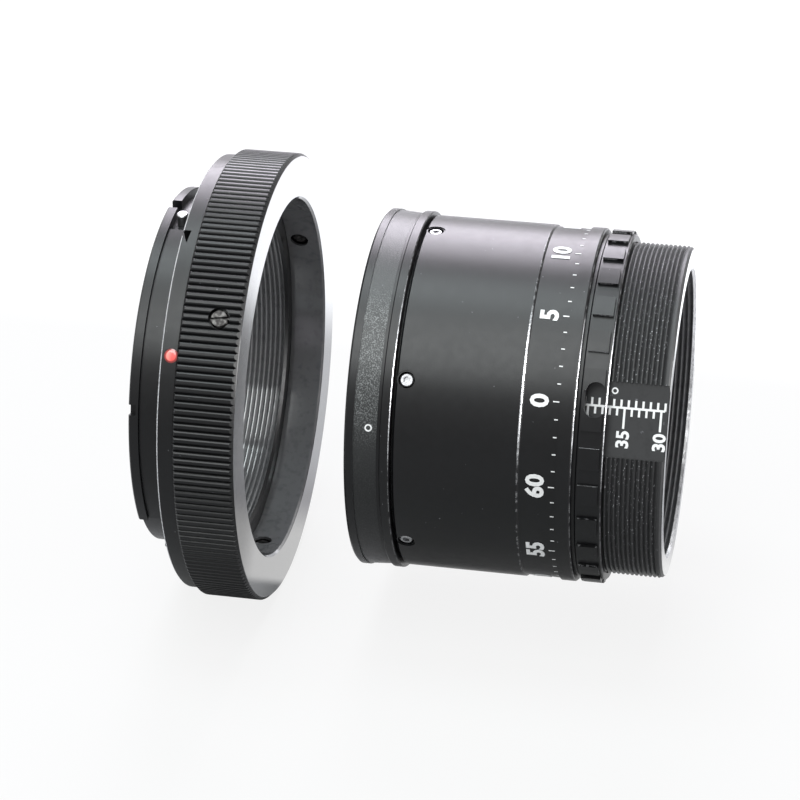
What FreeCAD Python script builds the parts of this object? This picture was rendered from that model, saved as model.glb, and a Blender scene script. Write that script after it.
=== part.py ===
"""Variable extension tube for a telescope, with the camera bayonet ring that clamps on its end.

The optical axis is X and +X points to the telescope. The origin is the centre of the tube's
telescope end face, and +Z is up. All sizes are millimetres and degrees. A turn about the axis
is counted from -Y, the side that faces the viewer, upwards to +Z.
"""
import FreeCAD, Part
import math
import os

import Sketcher
from FreeCAD import Placement, Rotation, Vector

SIZES = [
    # draw tube: the threaded tube that screws into the telescope
    ("tube_length", 24.5, "length of the draw tube"),
    ("telescope_thread_radius", 20.6, "minor radius of the telescope thread"),
    ("telescope_thread_depth", 0.4, "depth of the telescope thread"),
    ("telescope_thread_pitch", 0.75, "pitch of the telescope thread"),
    ("telescope_thread_length", 5.2, "length of the telescope thread"),
    ("tube_bore_step", 0.8, "height of the telescope thread above the tube's clear bore"),
    ("tube_wall", 2.5, "wall of the draw tube, from its bore to the crests outside"),
    ("thread_pitch", 0.65, "pitch of the outer fine thread"),
    ("thread_depth", 0.34, "depth of the outer fine thread"),
    ("tube_collar_drop", 0.15, "depth of the plain collar below the crests"),
    ("tube_collar_length", 0.8, "length of the plain collar at the telescope end"),
    ("tube_end_chamfer", 0.35, "chamfer at the tube's ends"),
    # scale track milled along the draw tube
    ("track_turn", 21.2, "direction of the middle of the scale track"),
    ("track_width", 10.4, "width of the scale track"),
    ("track_depth", 0.9, "depth of the track's floor below the crests"),
    ("paint_height", 0.04, "thickness of the white paint"),
    ("scale_line_offset", 1.68, "scale line's distance from the middle of the track"),
    ("scale_line_width", 0.3, "width of the scale's painted lines"),
    ("scale_step", 1.0, "distance between two ticks"),
    ("scale_start", 29.0, "reading at the telescope end face"),
    ("scale_end", 46.0, "last reading"),
    ("short_tick", 1.1, "length of a short tick"),
    ("long_tick", 2.85, "length of a long tick"),
    ("scale_ring_radius", 0.46, "outer radius of the scale's small painted ring"),
    ("ring_line", 0.2, "line width of the small painted rings"),
    ("scale_ring_reading", 36.5, "reading beside the scale's small painted ring"),
    ("scale_ring_offset", 3.91, "that ring's distance from the middle of the track"),
    # lock ring
    ("exposed_length", 8.3, "draw tube that stands out of the lock ring"),
    ("lock_ring_width", 3.7, "width of the lock ring"),
    ("lock_ring_wall", 1.0, "wall of the lock ring between its grip pads"),
    ("lock_boss_wall", 0.75, "wall of the boss that bears on the barrel"),
    ("lock_boss_length", 0.45, "length of that boss"),
    ("lock_edge", 0.2, "chamfer of the lock ring's edges"),
    ("pad_count", 29, "raised grip pads round the lock ring"),
    ("pad_height", 0.5, "height of the grip pads above the lock ring"),
    ("pad_gap", 2.4, "gap between two grip pads"),
    ("pad_back", 0.4, "lock ring left beside the pads on the barrel side"),
    ("pad_front", 0.45, "lock ring left beside the pads on the telescope side"),
    ("pad_turn", 45.6, "direction of the middle of the first grip pad"),
    ("window_turn", 27.0, "direction of the reading window"),
    ("window_station", 1.6, "window's distance from the lock ring's telescope face"),
    ("window_width", 2.8, "width of the reading window along the axis"),
    ("window_length", 4.9, "length of the reading window round the ring"),
    # barrel
    ("barrel_length", 24.85, "length of the barrel"),
    ("neck_step", 0.4, "step from the barrel's thread to the end ring's seat"),
    ("barrel_wall", 1.15, "wall of the barrel round the end ring's neck"),
    ("band_depth", 0.25, "depth of the marked band below the barrel"),
    ("band_step", 7.15, "distance from the barrel's telescope end to the band's far edge"),
    ("rim_rise", 0.05, "height of the barrel's end rim above the barrel"),
    ("rim_length", 2.1, "length of the end rim"),
    ("barrel_edge", 0.25, "chamfer of the barrel's edges"),
    ("running_gap", 0.05, "radial clearance of threads and turned fits"),
    ("face_gap", 0.02, "clearance between faces that bear on each other"),
    ("mark_count", 65, "divisions round the barrel, each a hundredth of a millimetre"),
    ("mark_length", 0.5, "length of a division mark"),
    ("long_mark_length", 0.85, "length of every fifth division mark"),
    ("mark_width", 0.16, "width of a division mark"),
    ("mark_gap", 0.15, "gap between the division marks and the end rim"),
    ("marks_turn", 25.4, "direction of the first division mark, beside the scale's line"),
    # end ring with the spigot for the bayonet ring
    ("neck_length", 4.0, "length of the neck inside the barrel"),
    ("neck_wall", 2.0, "wall of the end ring's neck"),
    ("flange_gap", 0.35, "gap between the end ring's flange and the barrel"),
    ("flange_width", 1.4, "width of the end ring's flange"),
    ("flange_rise", 0.5, "height of the flange above the barrel"),
    ("spigot_length", 4.95, "length of the spigot from its flange"),
    ("spigot_wall", 3.7, "wall of the spigot at its rim"),
    ("spigot_rim", 1.3, "length of the spigot's rim"),
    ("cone_step", 0.15, "step from the spigot's rim down to the clamping cone"),
    ("cone_fall", 0.25, "fall of the clamping cone towards the flange"),
    ("spigot_edge", 0.3, "chamfer of the spigot's edges"),
    ("baffle_pitch", 1.2, "pitch of the glare grooves inside the end ring"),
    ("baffle_depth", 0.35, "depth of the glare grooves"),
    ("end_mark_turn", 12.2, "direction of the end ring's painted ring"),
    ("end_mark_station", 1.6, "that ring's distance from the flange"),
    ("end_mark_radius", 0.52, "outer radius of that ring"),
    # six set screws that hold the end ring
    ("set_screw_count", 6, "set screws round the barrel"),
    ("set_screw_turn", 28.0, "direction of the first set screw"),
    ("set_screw_station", 1.42, "set screws' distance from the barrel's camera end"),
    ("set_screw_radius", 0.95, "radius of a set screw"),
    ("set_hole_gap", 0.2, "clearance round a set screw"),
    ("set_screw_sink", 0.25, "depth of a set screw's top below the barrel"),
    ("set_recess", 0.2, "extra radius of the recess round a set screw's hole"),
    ("set_recess_depth", 0.15, "depth of that recess"),
    ("set_screw_edge", 0.15, "chamfer of a set screw's top"),
    ("set_socket_width", 0.9, "width across flats of a set screw's socket"),
    ("set_socket_depth", 0.5, "depth of that socket"),
    ("groove_depth", 0.6, "depth of the neck's groove for the set screws"),
    ("groove_clearance", 0.15, "gap between a set screw's point and the groove"),
    # bayonet ring: knurled housing
    ("ring_distance", 18.93, "distance of the bayonet ring from its seat, as it stands"),
    ("grip_width", 8.5, "width of the knurled housing"),
    ("grip_rise", 0.9, "height of the knurl above the smooth band"),
    ("knurl_count", 202, "grooves of the knurl"),
    ("knurl_depth", 0.38, "depth of the knurl"),
    ("knurl_land", 0.3, "share of a knurl's pitch that its flat crest takes"),
    ("knurl_brow", 0.64, "share of a knurl's pitch between its grooves' steep walls"),
    ("knurl_brow_depth", 0.11, "fall of a knurl's sloping brow beside its crest"),
    ("grip_edge", 0.5, "chamfer of the housing's front edge"),
    ("grip_back_edge", 0.27, "chamfer of the housing's edge beside the smooth band"),
    ("socket_gap", 0.3, "radial clearance between the spigot and its socket"),
    ("socket_end_gap", 0.3, "room left at the bottom of the socket"),
    ("hub_step", 2.2, "step from the socket out to the bayonet plate's hub"),
    ("clamp_turn_1", 38.1, "direction of the first clamp screw"),
    ("clamp_turn_2", 152.4, "direction of the second clamp screw"),
    ("clamp_turn_3", 275.8, "direction of the third clamp screw"),
    ("clamp_station", 3.3, "clamp screws' distance from the front face"),
    ("clamp_screw_radius", 1.3, "radius of a clamp screw"),
    ("clamp_hole_gap", 0.05, "clearance round a clamp screw"),
    ("clamp_sink", 0.15, "depth of a clamp screw's head below the knurl"),
    ("clamp_tip_gap", 0.4, "distance of a clamp screw's tip from the socket wall"),
    ("clamp_tip_edge", 0.4, "chamfer of a clamp screw's tip"),
    ("clamp_head_edge", 0.2, "chamfer of a clamp screw's head"),
    ("clamp_recess", 0.15, "extra radius of the recess round a clamp screw's head"),
    ("clamp_recess_depth", 1.0, "depth of that recess"),
    ("slot_width", 0.38, "width of a screw slot"),
    ("slot_depth", 0.55, "depth of a screw slot"),
    ("slot_twist", 8.0, "turn of a clamp screw's slot from the axis"),
    # bayonet ring: bayonet plate
    ("plate_width", 2.5, "width of the bayonet plate's smooth band"),
    ("plate_screw_land", 0.26, "housing wall between the plate's hub and the plate screws"),
    ("plate_margin", 0.93, "plate left outside the plate screws' heads"),
    ("plate_edge", 0.2, "chamfer of the smooth band and the lugs"),
    ("relief_depth", 0.15, "depth of the relief inside the plate's seating face"),
    ("relief_gap", 0.8, "reach of that relief beyond the lugs"),
    ("camera_thread_step", 2.8, "height of the ring's inner thread above the socket wall"),
    ("camera_thread_depth", 0.42, "depth of that thread"),
    ("camera_thread_pitch", 0.75, "pitch of that thread"),
    ("camera_thread_length", 7.6, "length of that thread"),
    ("throat_step", 0.5, "height of the clear throat above that thread"),
    ("bayonet_length", 5.45, "height of the bayonet above the plate"),
    ("collar_wall", 2.5, "wall of the bayonet collar"),
    ("lug_height", 1.3, "height of the bayonet lugs above the collar"),
    ("lug_thickness", 1.4, "thickness of the bayonet lugs"),
    ("lug_1_start", -30.0, "lower end of the long lug"),
    ("lug_1_end", 83.5, "upper end of the long lug"),
    ("lug_2_start", 88.5, "first end of the second lug"),
    ("lug_2_end", 176.0, "other end of the second lug"),
    ("lug_3_start", 232.0, "first end of the third lug"),
    ("lug_3_end", 292.0, "other end of the third lug"),
    ("shoulder_drop", 0.45, "depth of the long lug's shoulder below the lug"),
    ("shoulder_end", 73.0, "upper end of that shoulder"),
    ("lug_notch_turn", 11.5, "direction of the small notch in the long lug"),
    ("lug_notch_width", 1.5, "width of that notch"),
    ("lug_notch_length", 1.05, "length of that notch along the axis"),
    ("lug_notch_depth", 1.2, "depth of that notch"),
    ("pin_slot_turn", 60.1, "direction of the camera's lock pin slot"),
    ("pin_slot_width", 2.2, "length of that slot round the plate"),
    ("pin_slot_depth", 1.2, "depth of that slot into the plate"),
    ("pin_slot_tip", 0.95, "depth at which that slot's point lies"),
    ("pin_slot_reach", 2.5, "reach of that slot in from the plate's edge"),
    ("stop_turn", 79.0, "direction of the bayonet's stop screw"),
    ("stop_station", 2.75, "stop screw's distance from the plate"),
    ("stop_radius", 0.82, "radius of the stop screw's head"),
    ("stop_shank_radius", 0.4, "radius of the stop screw's shank"),
    ("stop_root", 0.3, "wall left inside the stop screw's shank"),
    ("stop_rise", 0.4, "height of the stop screw's head above the lugs"),
    ("small_edge", 0.15, "chamfer of the small screw heads"),
    ("plate_screw_count", 3, "screws that hold the plate to the housing"),
    ("plate_screw_turn", 98.0, "direction of the first of them"),
    ("plate_screw_head_radius", 1.45, "radius of their heads"),
    ("plate_screw_head_height", 1.0, "height of their heads"),
    ("plate_screw_shank_radius", 0.8, "radius of their shanks"),
    ("plate_screw_length", 5.0, "length of a plate screw"),
    ("index_dot_turn", 28.2, "direction of the red index dot"),
    ("index_dot_station", 1.02, "red index dot's distance from the knurled housing"),
    ("index_dot_radius", 0.97, "radius of the red index dot"),
    ("index_dot_depth", 0.6, "depth of the red index dot"),
    ("index_dot_rise", 0.05, "height of the red index dot above the band"),
    ("index_dot_edge", 0.1, "chamfer of the red index dot"),
    # shares and allowances that only shape the cuts
    ("thread_mouth", 0.9, "share of a thread's pitch that a groove's mouth takes"),
    ("baffle_mouth", 0.8, "share of a glare groove's pitch that its mouth takes"),
    ("overshoot", 0.01, "reach of a groove's mouth past the surface"),
    ("cut_reach", 2.0, "reach of a cutting shape past what it cuts"),
]

doc = FreeCAD.newDocument("extension_tube_set")
sheet = doc.addObject("Spreadsheet::Sheet", "Sizes")
for row, (alias, amount, meaning) in enumerate(SIZES, start=1):
    sheet.set(f"A{row}", meaning)
    sheet.set(f"B{row}", str(amount))
    sheet.setAlias(f"B{row}", alias)
doc.recompute()


def value(expression):
    """The present number of an expression on the sheet's sizes."""
    return float(sheet.evalExpression(expression))


def size(alias):
    """The present number of one size."""
    return value(f"Sizes.{alias}")


# Stations along the axis, as expressions on the sizes.
LOCK_FRONT = "-Sizes.exposed_length"
LOCK_BACK = f"({LOCK_FRONT} - Sizes.lock_ring_width)"
BOSS_BACK = f"({LOCK_BACK} - Sizes.lock_boss_length)"
BARREL_FRONT = f"({BOSS_BACK} - Sizes.face_gap)"
BAND_BACK = f"({BARREL_FRONT} - Sizes.band_step)"
BARREL_BACK = f"({BARREL_FRONT} - Sizes.barrel_length)"
SET_SCREWS = f"({BARREL_BACK} + Sizes.set_screw_station)"
NECK_FRONT = f"({BARREL_BACK} + Sizes.neck_length)"
NECK_SHOULDER = f"({NECK_FRONT} + Sizes.flange_gap)"
FLANGE_FRONT = f"({BARREL_BACK} - Sizes.flange_gap)"
SEAT = f"({FLANGE_FRONT} - Sizes.flange_width)"
SPIGOT_BACK = f"({SEAT} - Sizes.spigot_length)"
RIM_EDGE = f"({SPIGOT_BACK} + Sizes.spigot_rim)"
RING_FACE = f"({SEAT} - Sizes.ring_distance)"
CLAMPS = f"({RING_FACE} - Sizes.clamp_station)"
SOCKET_END = f"({RING_FACE} - Sizes.spigot_length - Sizes.socket_end_gap)"
GRIP_BACK = f"({RING_FACE} - Sizes.grip_width)"
PLATE_BACK = f"({GRIP_BACK} - Sizes.plate_width)"
BAYONET_END = f"({PLATE_BACK} - Sizes.bayonet_length)"
LUG_FRONT = f"({BAYONET_END} + Sizes.lug_thickness)"
STOP_STATION = f"({PLATE_BACK} - Sizes.stop_station)"
DOT_STATION = f"({GRIP_BACK} - Sizes.index_dot_station)"
THREAD_END = f"({SOCKET_END} - Sizes.camera_thread_length)"

# Radii, each built on the one it fits or stands on.
TUBE_BORE = "(Sizes.telescope_thread_radius + Sizes.tube_bore_step)"
CREST = f"({TUBE_BORE} + Sizes.tube_wall)"
TUBE_COLLAR = f"({CREST} - Sizes.tube_collar_drop)"
TRACK_FLOOR = f"({CREST} - Sizes.track_depth)"
BARREL_BORE = f"({CREST} + Sizes.running_gap)"
LOCK_RADIUS = f"({BARREL_BORE} + Sizes.lock_ring_wall)"
PAD_RADIUS = f"({LOCK_RADIUS} + Sizes.pad_height)"
LOCK_BOSS = f"({BARREL_BORE} + Sizes.lock_boss_wall)"
NECK_BORE = f"({BARREL_BORE} + Sizes.neck_step)"
NECK_RADIUS = f"({NECK_BORE} - Sizes.running_gap)"
GROOVE_FLOOR = f"({NECK_RADIUS} - Sizes.groove_depth)"
END_BORE = f"({NECK_RADIUS} - Sizes.neck_wall)"
BARREL_RADIUS = f"({NECK_BORE} + Sizes.barrel_wall)"
BAND_RADIUS = f"({BARREL_RADIUS} - Sizes.band_depth)"
RIM_RADIUS = f"({BARREL_RADIUS} + Sizes.rim_rise)"
SET_HOLE = "(Sizes.set_screw_radius + Sizes.set_hole_gap)"
FLANGE_RADIUS = f"({BARREL_RADIUS} + Sizes.flange_rise)"
SPIGOT_RADIUS = f"({END_BORE} + Sizes.spigot_wall)"
CONE_OUTER = f"({SPIGOT_RADIUS} - Sizes.cone_step)"
CONE_INNER = f"({CONE_OUTER} - Sizes.cone_fall)"
SOCKET_RADIUS = f"({SPIGOT_RADIUS} + Sizes.socket_gap)"
HUB_RADIUS = f"({SOCKET_RADIUS} + Sizes.hub_step)"
HUB_BORE = f"({HUB_RADIUS} + Sizes.face_gap)"
SHANK_HOLE = "(Sizes.plate_screw_shank_radius + Sizes.face_gap)"
HEAD_HOLE = "(Sizes.plate_screw_head_radius + Sizes.face_gap)"
SCREW_CIRCLE = f"({HUB_BORE} + Sizes.plate_screw_land + {SHANK_HOLE})"
PLATE_RADIUS = f"({SCREW_CIRCLE} + {HEAD_HOLE} + Sizes.plate_margin)"
GRIP_RADIUS = f"({PLATE_RADIUS} + Sizes.grip_rise)"
KNURL_FLOOR = f"({GRIP_RADIUS} - Sizes.knurl_depth)"
CLAMP_TIP = f"({SOCKET_RADIUS} + Sizes.clamp_tip_gap)"
CLAMP_HOLE = "(Sizes.clamp_screw_radius + Sizes.clamp_hole_gap)"
CLAMP_TOP = f"({GRIP_RADIUS} - Sizes.clamp_sink)"
CAMERA_THREAD = f"({SOCKET_RADIUS} - Sizes.camera_thread_step)"
THROAT_RADIUS = f"({CAMERA_THREAD} - Sizes.throat_step)"
COLLAR_RADIUS = f"({THROAT_RADIUS} + Sizes.collar_wall)"
LUG_RADIUS = f"({COLLAR_RADIUS} + Sizes.lug_height)"
SHOULDER_RADIUS = f"({LUG_RADIUS} - Sizes.shoulder_drop)"
RELIEF_RADIUS = f"({LUG_RADIUS} + Sizes.relief_gap)"
STOP_REACH = f"({LUG_RADIUS} + Sizes.stop_rise)"
STOP_HOLE = "(Sizes.stop_radius + Sizes.face_gap)"

CLAMP_TURNS = ("clamp_turn_1", "clamp_turn_2", "clamp_turn_3")
X_AXIS = Vector(1, 0, 0)


def origin_feature(body, role):
    """One of a body's own origin planes or axes."""
    for feature in body.Origin.OriginFeatures:
        if feature.Role == role:
            return feature
    raise RuntimeError(f"{body.Label} has no {role}")


def new_body(label):
    """An empty body whose label names its file."""
    body = doc.addObject("PartDesign::Body", label)
    body.Label = label
    return body


def new_sketch(body, name, plane, turn="0", height="0"):
    """A sketch on an origin plane, turned about the axis and then lifted along its normal."""
    sketch = body.newObject("Sketcher::SketchObject", name)
    sketch.AttachmentSupport = (origin_feature(body, plane), [""])
    sketch.MapMode = "FlatFace"
    if value(turn) or value(height):
        lift = Rotation(X_AXIS, value(turn)).multVec(Vector(0, 0, value(height)))
        sketch.AttachmentOffset = Placement(lift, Rotation(X_AXIS, value(turn)))
        sketch.setExpression("AttachmentOffset.Rotation.Angle", turn)
        sketch.setExpression("AttachmentOffset.Base.y", f"-({height}) * sin({turn})")
        sketch.setExpression("AttachmentOffset.Base.z", f"({height}) * cos({turn})")
    return sketch


def pin(sketch, edge, end, across, up):
    """Fixes one point of a sketch at two expressions, measured from the sketch's origin."""
    for kind, axis, expression in (("DistanceX", -2, across), ("DistanceY", -1, up)):
        if abs(value(expression)) < 1e-9:
            sketch.addConstraint(Sketcher.Constraint("PointOnObject", edge, end, axis))
            continue
        index = sketch.addConstraint(Sketcher.Constraint(kind, edge, end, value(expression)))
        sketch.setExpression(f"Constraints[{index}]", expression)


def draw_outline(sketch, corners):
    """Draws a closed outline of straight edges through corners given as expressions."""
    points = [Vector(value(across), value(up), 0) for across, up in corners]
    for start, finish in zip(points, points[1:] + points[:1]):
        sketch.addGeometry(Part.LineSegment(start, finish), False)
    for edge in range(len(points)):
        following = (edge + 1) % len(points)
        sketch.addConstraint(Sketcher.Constraint("Coincident", edge, 2, following, 1))
    for edge, (across, up) in enumerate(corners):
        pin(sketch, edge, 1, across, up)


def draw_circle(sketch, across, up, radius):
    """Draws a circle whose centre and radius are expressions."""
    circle = Part.Circle(Vector(value(across), value(up), 0), Vector(0, 0, 1), value(radius))
    edge = sketch.addGeometry(circle, False)
    pin(sketch, edge, 3, across, up)
    index = sketch.addConstraint(Sketcher.Constraint("Radius", edge, value(radius)))
    sketch.setExpression(f"Constraints[{index}]", radius)


def turn_solid(body, name, corners, axis="H_Axis"):
    """Turns an outline of stations and radii into a ring or a pin."""
    sketch = new_sketch(body, name + "_outline", "XZ_Plane")
    draw_outline(sketch, corners)
    turning = body.newObject("PartDesign::Revolution", name)
    turning.Profile = sketch
    turning.ReferenceAxis = (sketch, [axis])
    turning.Angle = 360
    return turning


def turn_groove(body, name, corners, repeats="1", pitch="0"):
    """Cuts an annular groove, and repeats it towards -X at a pitch."""
    sketch = new_sketch(body, name + "_outline", "XZ_Plane")
    draw_outline(sketch, corners)
    groove = body.newObject("PartDesign::Groove", name)
    groove.Profile = sketch
    groove.ReferenceAxis = (sketch, ["H_Axis"])
    groove.Angle = 360
    if value(repeats) > 1:
        row_of_grooves = body.newObject("PartDesign::LinearPattern", name + "_row")
        row_of_grooves.Originals = [groove]
        row_of_grooves.Direction = (origin_feature(body, "X_Axis"), [""])
        row_of_grooves.Reversed = True
        row_of_grooves.setExpression("Occurrences", repeats)
        row_of_grooves.setExpression("Length", f"(({repeats}) - 1) * {pitch}")
        body.Tip = row_of_grooves


def vee(station, mouth_radius, floor_radius, width):
    """Corners of a V groove centred on a station; its mouth is a little past the surface."""
    return [(f"{station} - {width} / 2", mouth_radius),
            (f"{station} + {width} / 2", mouth_radius),
            (station, floor_radius)]


def cut_outwards(body, name, sketch, depth):
    """Cuts from a sketch's plane along its normal, away from the axis."""
    pocket = body.newObject("PartDesign::Pocket", name)
    pocket.Profile = sketch
    pocket.Reversed = True
    pocket.Type = "Length"
    pocket.Length = value(depth)
    pocket.setExpression("Length", depth)
    return pocket


def cut_backwards(body, name, start, turn, radius):
    """Cuts a round hole from a station out through the plate, on the circle of its screws."""
    plan = new_sketch(body, name + "_plan", "YZ_Plane", "0", start)
    draw_circle(plan, f"-{SCREW_CIRCLE} * sin({turn})", f"{SCREW_CIRCLE} * cos({turn})", radius)
    hole = body.newObject("PartDesign::Pocket", name)
    hole.Profile = plan
    hole.Type = "Length"
    hole.setExpression("Length", f"{start} - {PLATE_BACK} + Sizes.cut_reach")
    return hole


def repeat_round(body, feature, count, angle="360"):
    """Repeats a feature round the optical axis."""
    ring = body.newObject("PartDesign::PolarPattern", feature.Name + "_ring")
    ring.Originals = [feature]
    ring.Axis = (origin_feature(body, "X_Axis"), [""])
    ring.setExpression("Angle", angle)
    ring.setExpression("Occurrences", count)
    body.Tip = ring


def place_round(piece, turn, station="0", twist="0"):
    """Sets a piece that was made pointing to +Z at a station and a turn about the axis."""
    about_axis = Rotation(X_AXIS, 90 - value(turn))
    about_itself = Rotation(Vector(0, 0, 1), value(twist))
    piece.Placement = Placement(Vector(value(station), 0, 0), about_axis.multiply(about_itself))
    piece.setExpression("Placement.Base.x", station)
    if not value(twist):
        piece.setExpression("Placement.Rotation.Angle", f"90 - ({turn})")


def make_draw_tube():
    """The threaded tube: outer fine thread, inner telescope thread and a milled scale track."""
    tube = new_body("draw_tube")
    radius, collar = CREST, TUBE_COLLAR
    bevel, inner = "Sizes.tube_end_chamfer", "Sizes.telescope_thread_radius"
    back = "-Sizes.tube_length"
    turn_solid(tube, "tube_turning", [
        ("0", f"{inner} + Sizes.telescope_thread_depth"),
        ("0", f"{collar} - {bevel}"),
        (f"-{bevel}", collar),
        ("-Sizes.tube_collar_length", collar),
        ("-Sizes.tube_collar_length", radius),
        (f"{back} + {bevel}", radius),
        (back, f"{radius} - {bevel}"),
        (back, TUBE_BORE),
        ("-Sizes.telescope_thread_length", TUBE_BORE),
        ("-Sizes.telescope_thread_length", inner),
        ("-Sizes.telescope_thread_depth", inner),
    ])
    pitch = "Sizes.thread_pitch"
    turns = f"floor((Sizes.tube_length - Sizes.tube_collar_length - {bevel}) / {pitch})"
    first = f"(-Sizes.tube_collar_length - {pitch} / 2)"
    turn_groove(tube, "fine_thread",
                vee(first, f"{radius} + Sizes.overshoot", f"{radius} - Sizes.thread_depth",
                    f"{pitch} * Sizes.thread_mouth"),
                turns, pitch)
    pitch = "Sizes.telescope_thread_pitch"
    turns = f"floor((Sizes.telescope_thread_length - Sizes.telescope_thread_depth) / {pitch})"
    first = f"(-Sizes.telescope_thread_depth - {pitch} / 2)"
    turn_groove(tube, "telescope_thread",
                vee(first, f"{inner} - Sizes.overshoot", f"{inner} + Sizes.telescope_thread_depth",
                    f"{pitch} * Sizes.thread_mouth"),
                turns, pitch)
    track = new_sketch(tube, "track_outline", "YZ_Plane")
    half = "Sizes.track_width / 2"
    draw_outline(track, [(f"-{half}", TRACK_FLOOR), (half, TRACK_FLOOR),
                         (half, f"{radius} + Sizes.cut_reach"), (f"-{half}", f"{radius} + Sizes.cut_reach")])
    milling = tube.newObject("PartDesign::Pocket", "scale_track")
    milling.Profile = track
    milling.Midplane = True
    milling.Type = "Length"
    milling.setExpression("Length", "2 * Sizes.tube_length + Sizes.cut_reach")
    place_round(tube, "Sizes.track_turn")


def paint_bar(low_x, high_x, low_y, high_y):
    """One painted bar on the floor of the scale track."""
    return Part.makeBox(high_x - low_x, high_y - low_y, size("paint_height"),
                        Vector(low_x, low_y, value(TRACK_FLOOR)))


def make_scale_marks():
    """The white scale: a line along the track, ticks on both sides of it and a small ring."""
    # Upwards on the viewer's side is +Y while the track still points to +Z.
    line_y = size("scale_line_offset")
    half = size("scale_line_width") / 2
    step = size("scale_step")
    start = size("scale_start")
    count = int(round((size("scale_end") - start) / step))
    bars = [paint_bar(-count * step, -step / 2, line_y - half, line_y + half)]
    for number in range(1, count + 1):
        x = -number * step
        is_long = round(start + number * step) % 5 == 0
        reach = size("long_tick") if is_long else size("short_tick")
        bars.append(paint_bar(x - half, x + half, line_y - reach, line_y))
        x += step / 2
        bars.append(paint_bar(x - half, x + half, line_y, line_y + size("short_tick")))
    lines = bars[0].multiFuse(bars[1:]).removeSplitter()
    centre = Vector(-(size("scale_ring_reading") - start), size("scale_ring_offset"),
                    value(TRACK_FLOOR))
    outer = Part.makeCylinder(size("scale_ring_radius"), size("paint_height"), centre)
    inner = Part.makeCylinder(size("scale_ring_radius") - size("ring_line"),
                              size("paint_height"), centre)
    marks = doc.addObject("Part::Feature", "scale_marks")
    marks.Shape = Part.makeCompound([lines, outer.cut(inner)])
    place_round(marks, "Sizes.track_turn")


def make_lock_ring():
    """The ring that locks the draw tube against the barrel: grip pads and a reading window."""
    ring = new_body("lock_ring")
    radius, edge, pads = LOCK_RADIUS, "Sizes.lock_edge", PAD_RADIUS
    pads_front, pads_back = f"({LOCK_FRONT} - Sizes.pad_front)", f"({LOCK_BACK} + Sizes.pad_back)"
    turn_solid(ring, "lock_turning", [
        (LOCK_FRONT, BARREL_BORE),
        (LOCK_FRONT, f"{radius} - {edge}"),
        (f"{LOCK_FRONT} - {edge}", radius),
        (pads_front, radius),
        (pads_front, pads),
        (pads_back, pads),
        (pads_back, radius),
        (f"{LOCK_BACK} + {edge}", radius),
        (LOCK_BACK, f"{radius} - {edge}"),
        (LOCK_BACK, LOCK_BOSS),
        (BOSS_BACK, LOCK_BOSS),
        (BOSS_BACK, BARREL_BORE),
    ])
    gap_plan = new_sketch(ring, "pad_gap_plan", "XY_Plane", "0", radius)
    half = "Sizes.pad_gap / 2"
    draw_outline(gap_plan, [(LOCK_BACK, f"-{half}"), (LOCK_FRONT, f"-{half}"),
                            (LOCK_FRONT, half), (LOCK_BACK, half)])
    gap = cut_outwards(ring, "pad_gap_cut", gap_plan, "Sizes.pad_height * 3")
    repeat_round(ring, gap, "Sizes.pad_count")
    turn = "Sizes.pad_turn - 180 / Sizes.pad_count - Sizes.window_turn"
    window_plan = new_sketch(ring, "window_plan", "XY_Plane", turn)
    draw_stadium(window_plan, f"{LOCK_FRONT} - Sizes.window_station",
                 "Sizes.window_width / 2", "(Sizes.window_length - Sizes.window_width) / 2")
    window = cut_outwards(ring, "reading_window", window_plan, f"{pads} + Sizes.cut_reach")
    ring.Tip = window
    place_round(ring, "Sizes.pad_turn - 180 / Sizes.pad_count")


def draw_stadium(sketch, across, radius, half_straight):
    """Draws a slot with round ends whose long way is the sketch's upward direction."""
    centre, wide, rise = value(across), value(radius), value(half_straight)
    normal = Vector(0, 0, 1)
    top = Part.Circle(Vector(centre, rise, 0), normal, wide)
    bottom = Part.Circle(Vector(centre, -rise, 0), normal, wide)
    sketch.addGeometry(Part.ArcOfCircle(top, 0, math.pi), False)
    left = Part.LineSegment(Vector(centre - wide, rise, 0), Vector(centre - wide, -rise, 0))
    sketch.addGeometry(left, False)
    sketch.addGeometry(Part.ArcOfCircle(bottom, math.pi, 2 * math.pi), False)
    right = Part.LineSegment(Vector(centre + wide, -rise, 0), Vector(centre + wide, rise, 0))
    sketch.addGeometry(right, False)
    for first, second in ((0, 1), (1, 2), (2, 3), (3, 0)):
        sketch.addConstraint(Sketcher.Constraint("Tangent", first, 2, second, 1))
    pin(sketch, 0, 3, across, half_straight)
    pin(sketch, 2, 3, across, f"-({half_straight})")
    index = sketch.addConstraint(Sketcher.Constraint("Radius", 0, wide))
    sketch.setExpression(f"Constraints[{index}]", radius)


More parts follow.
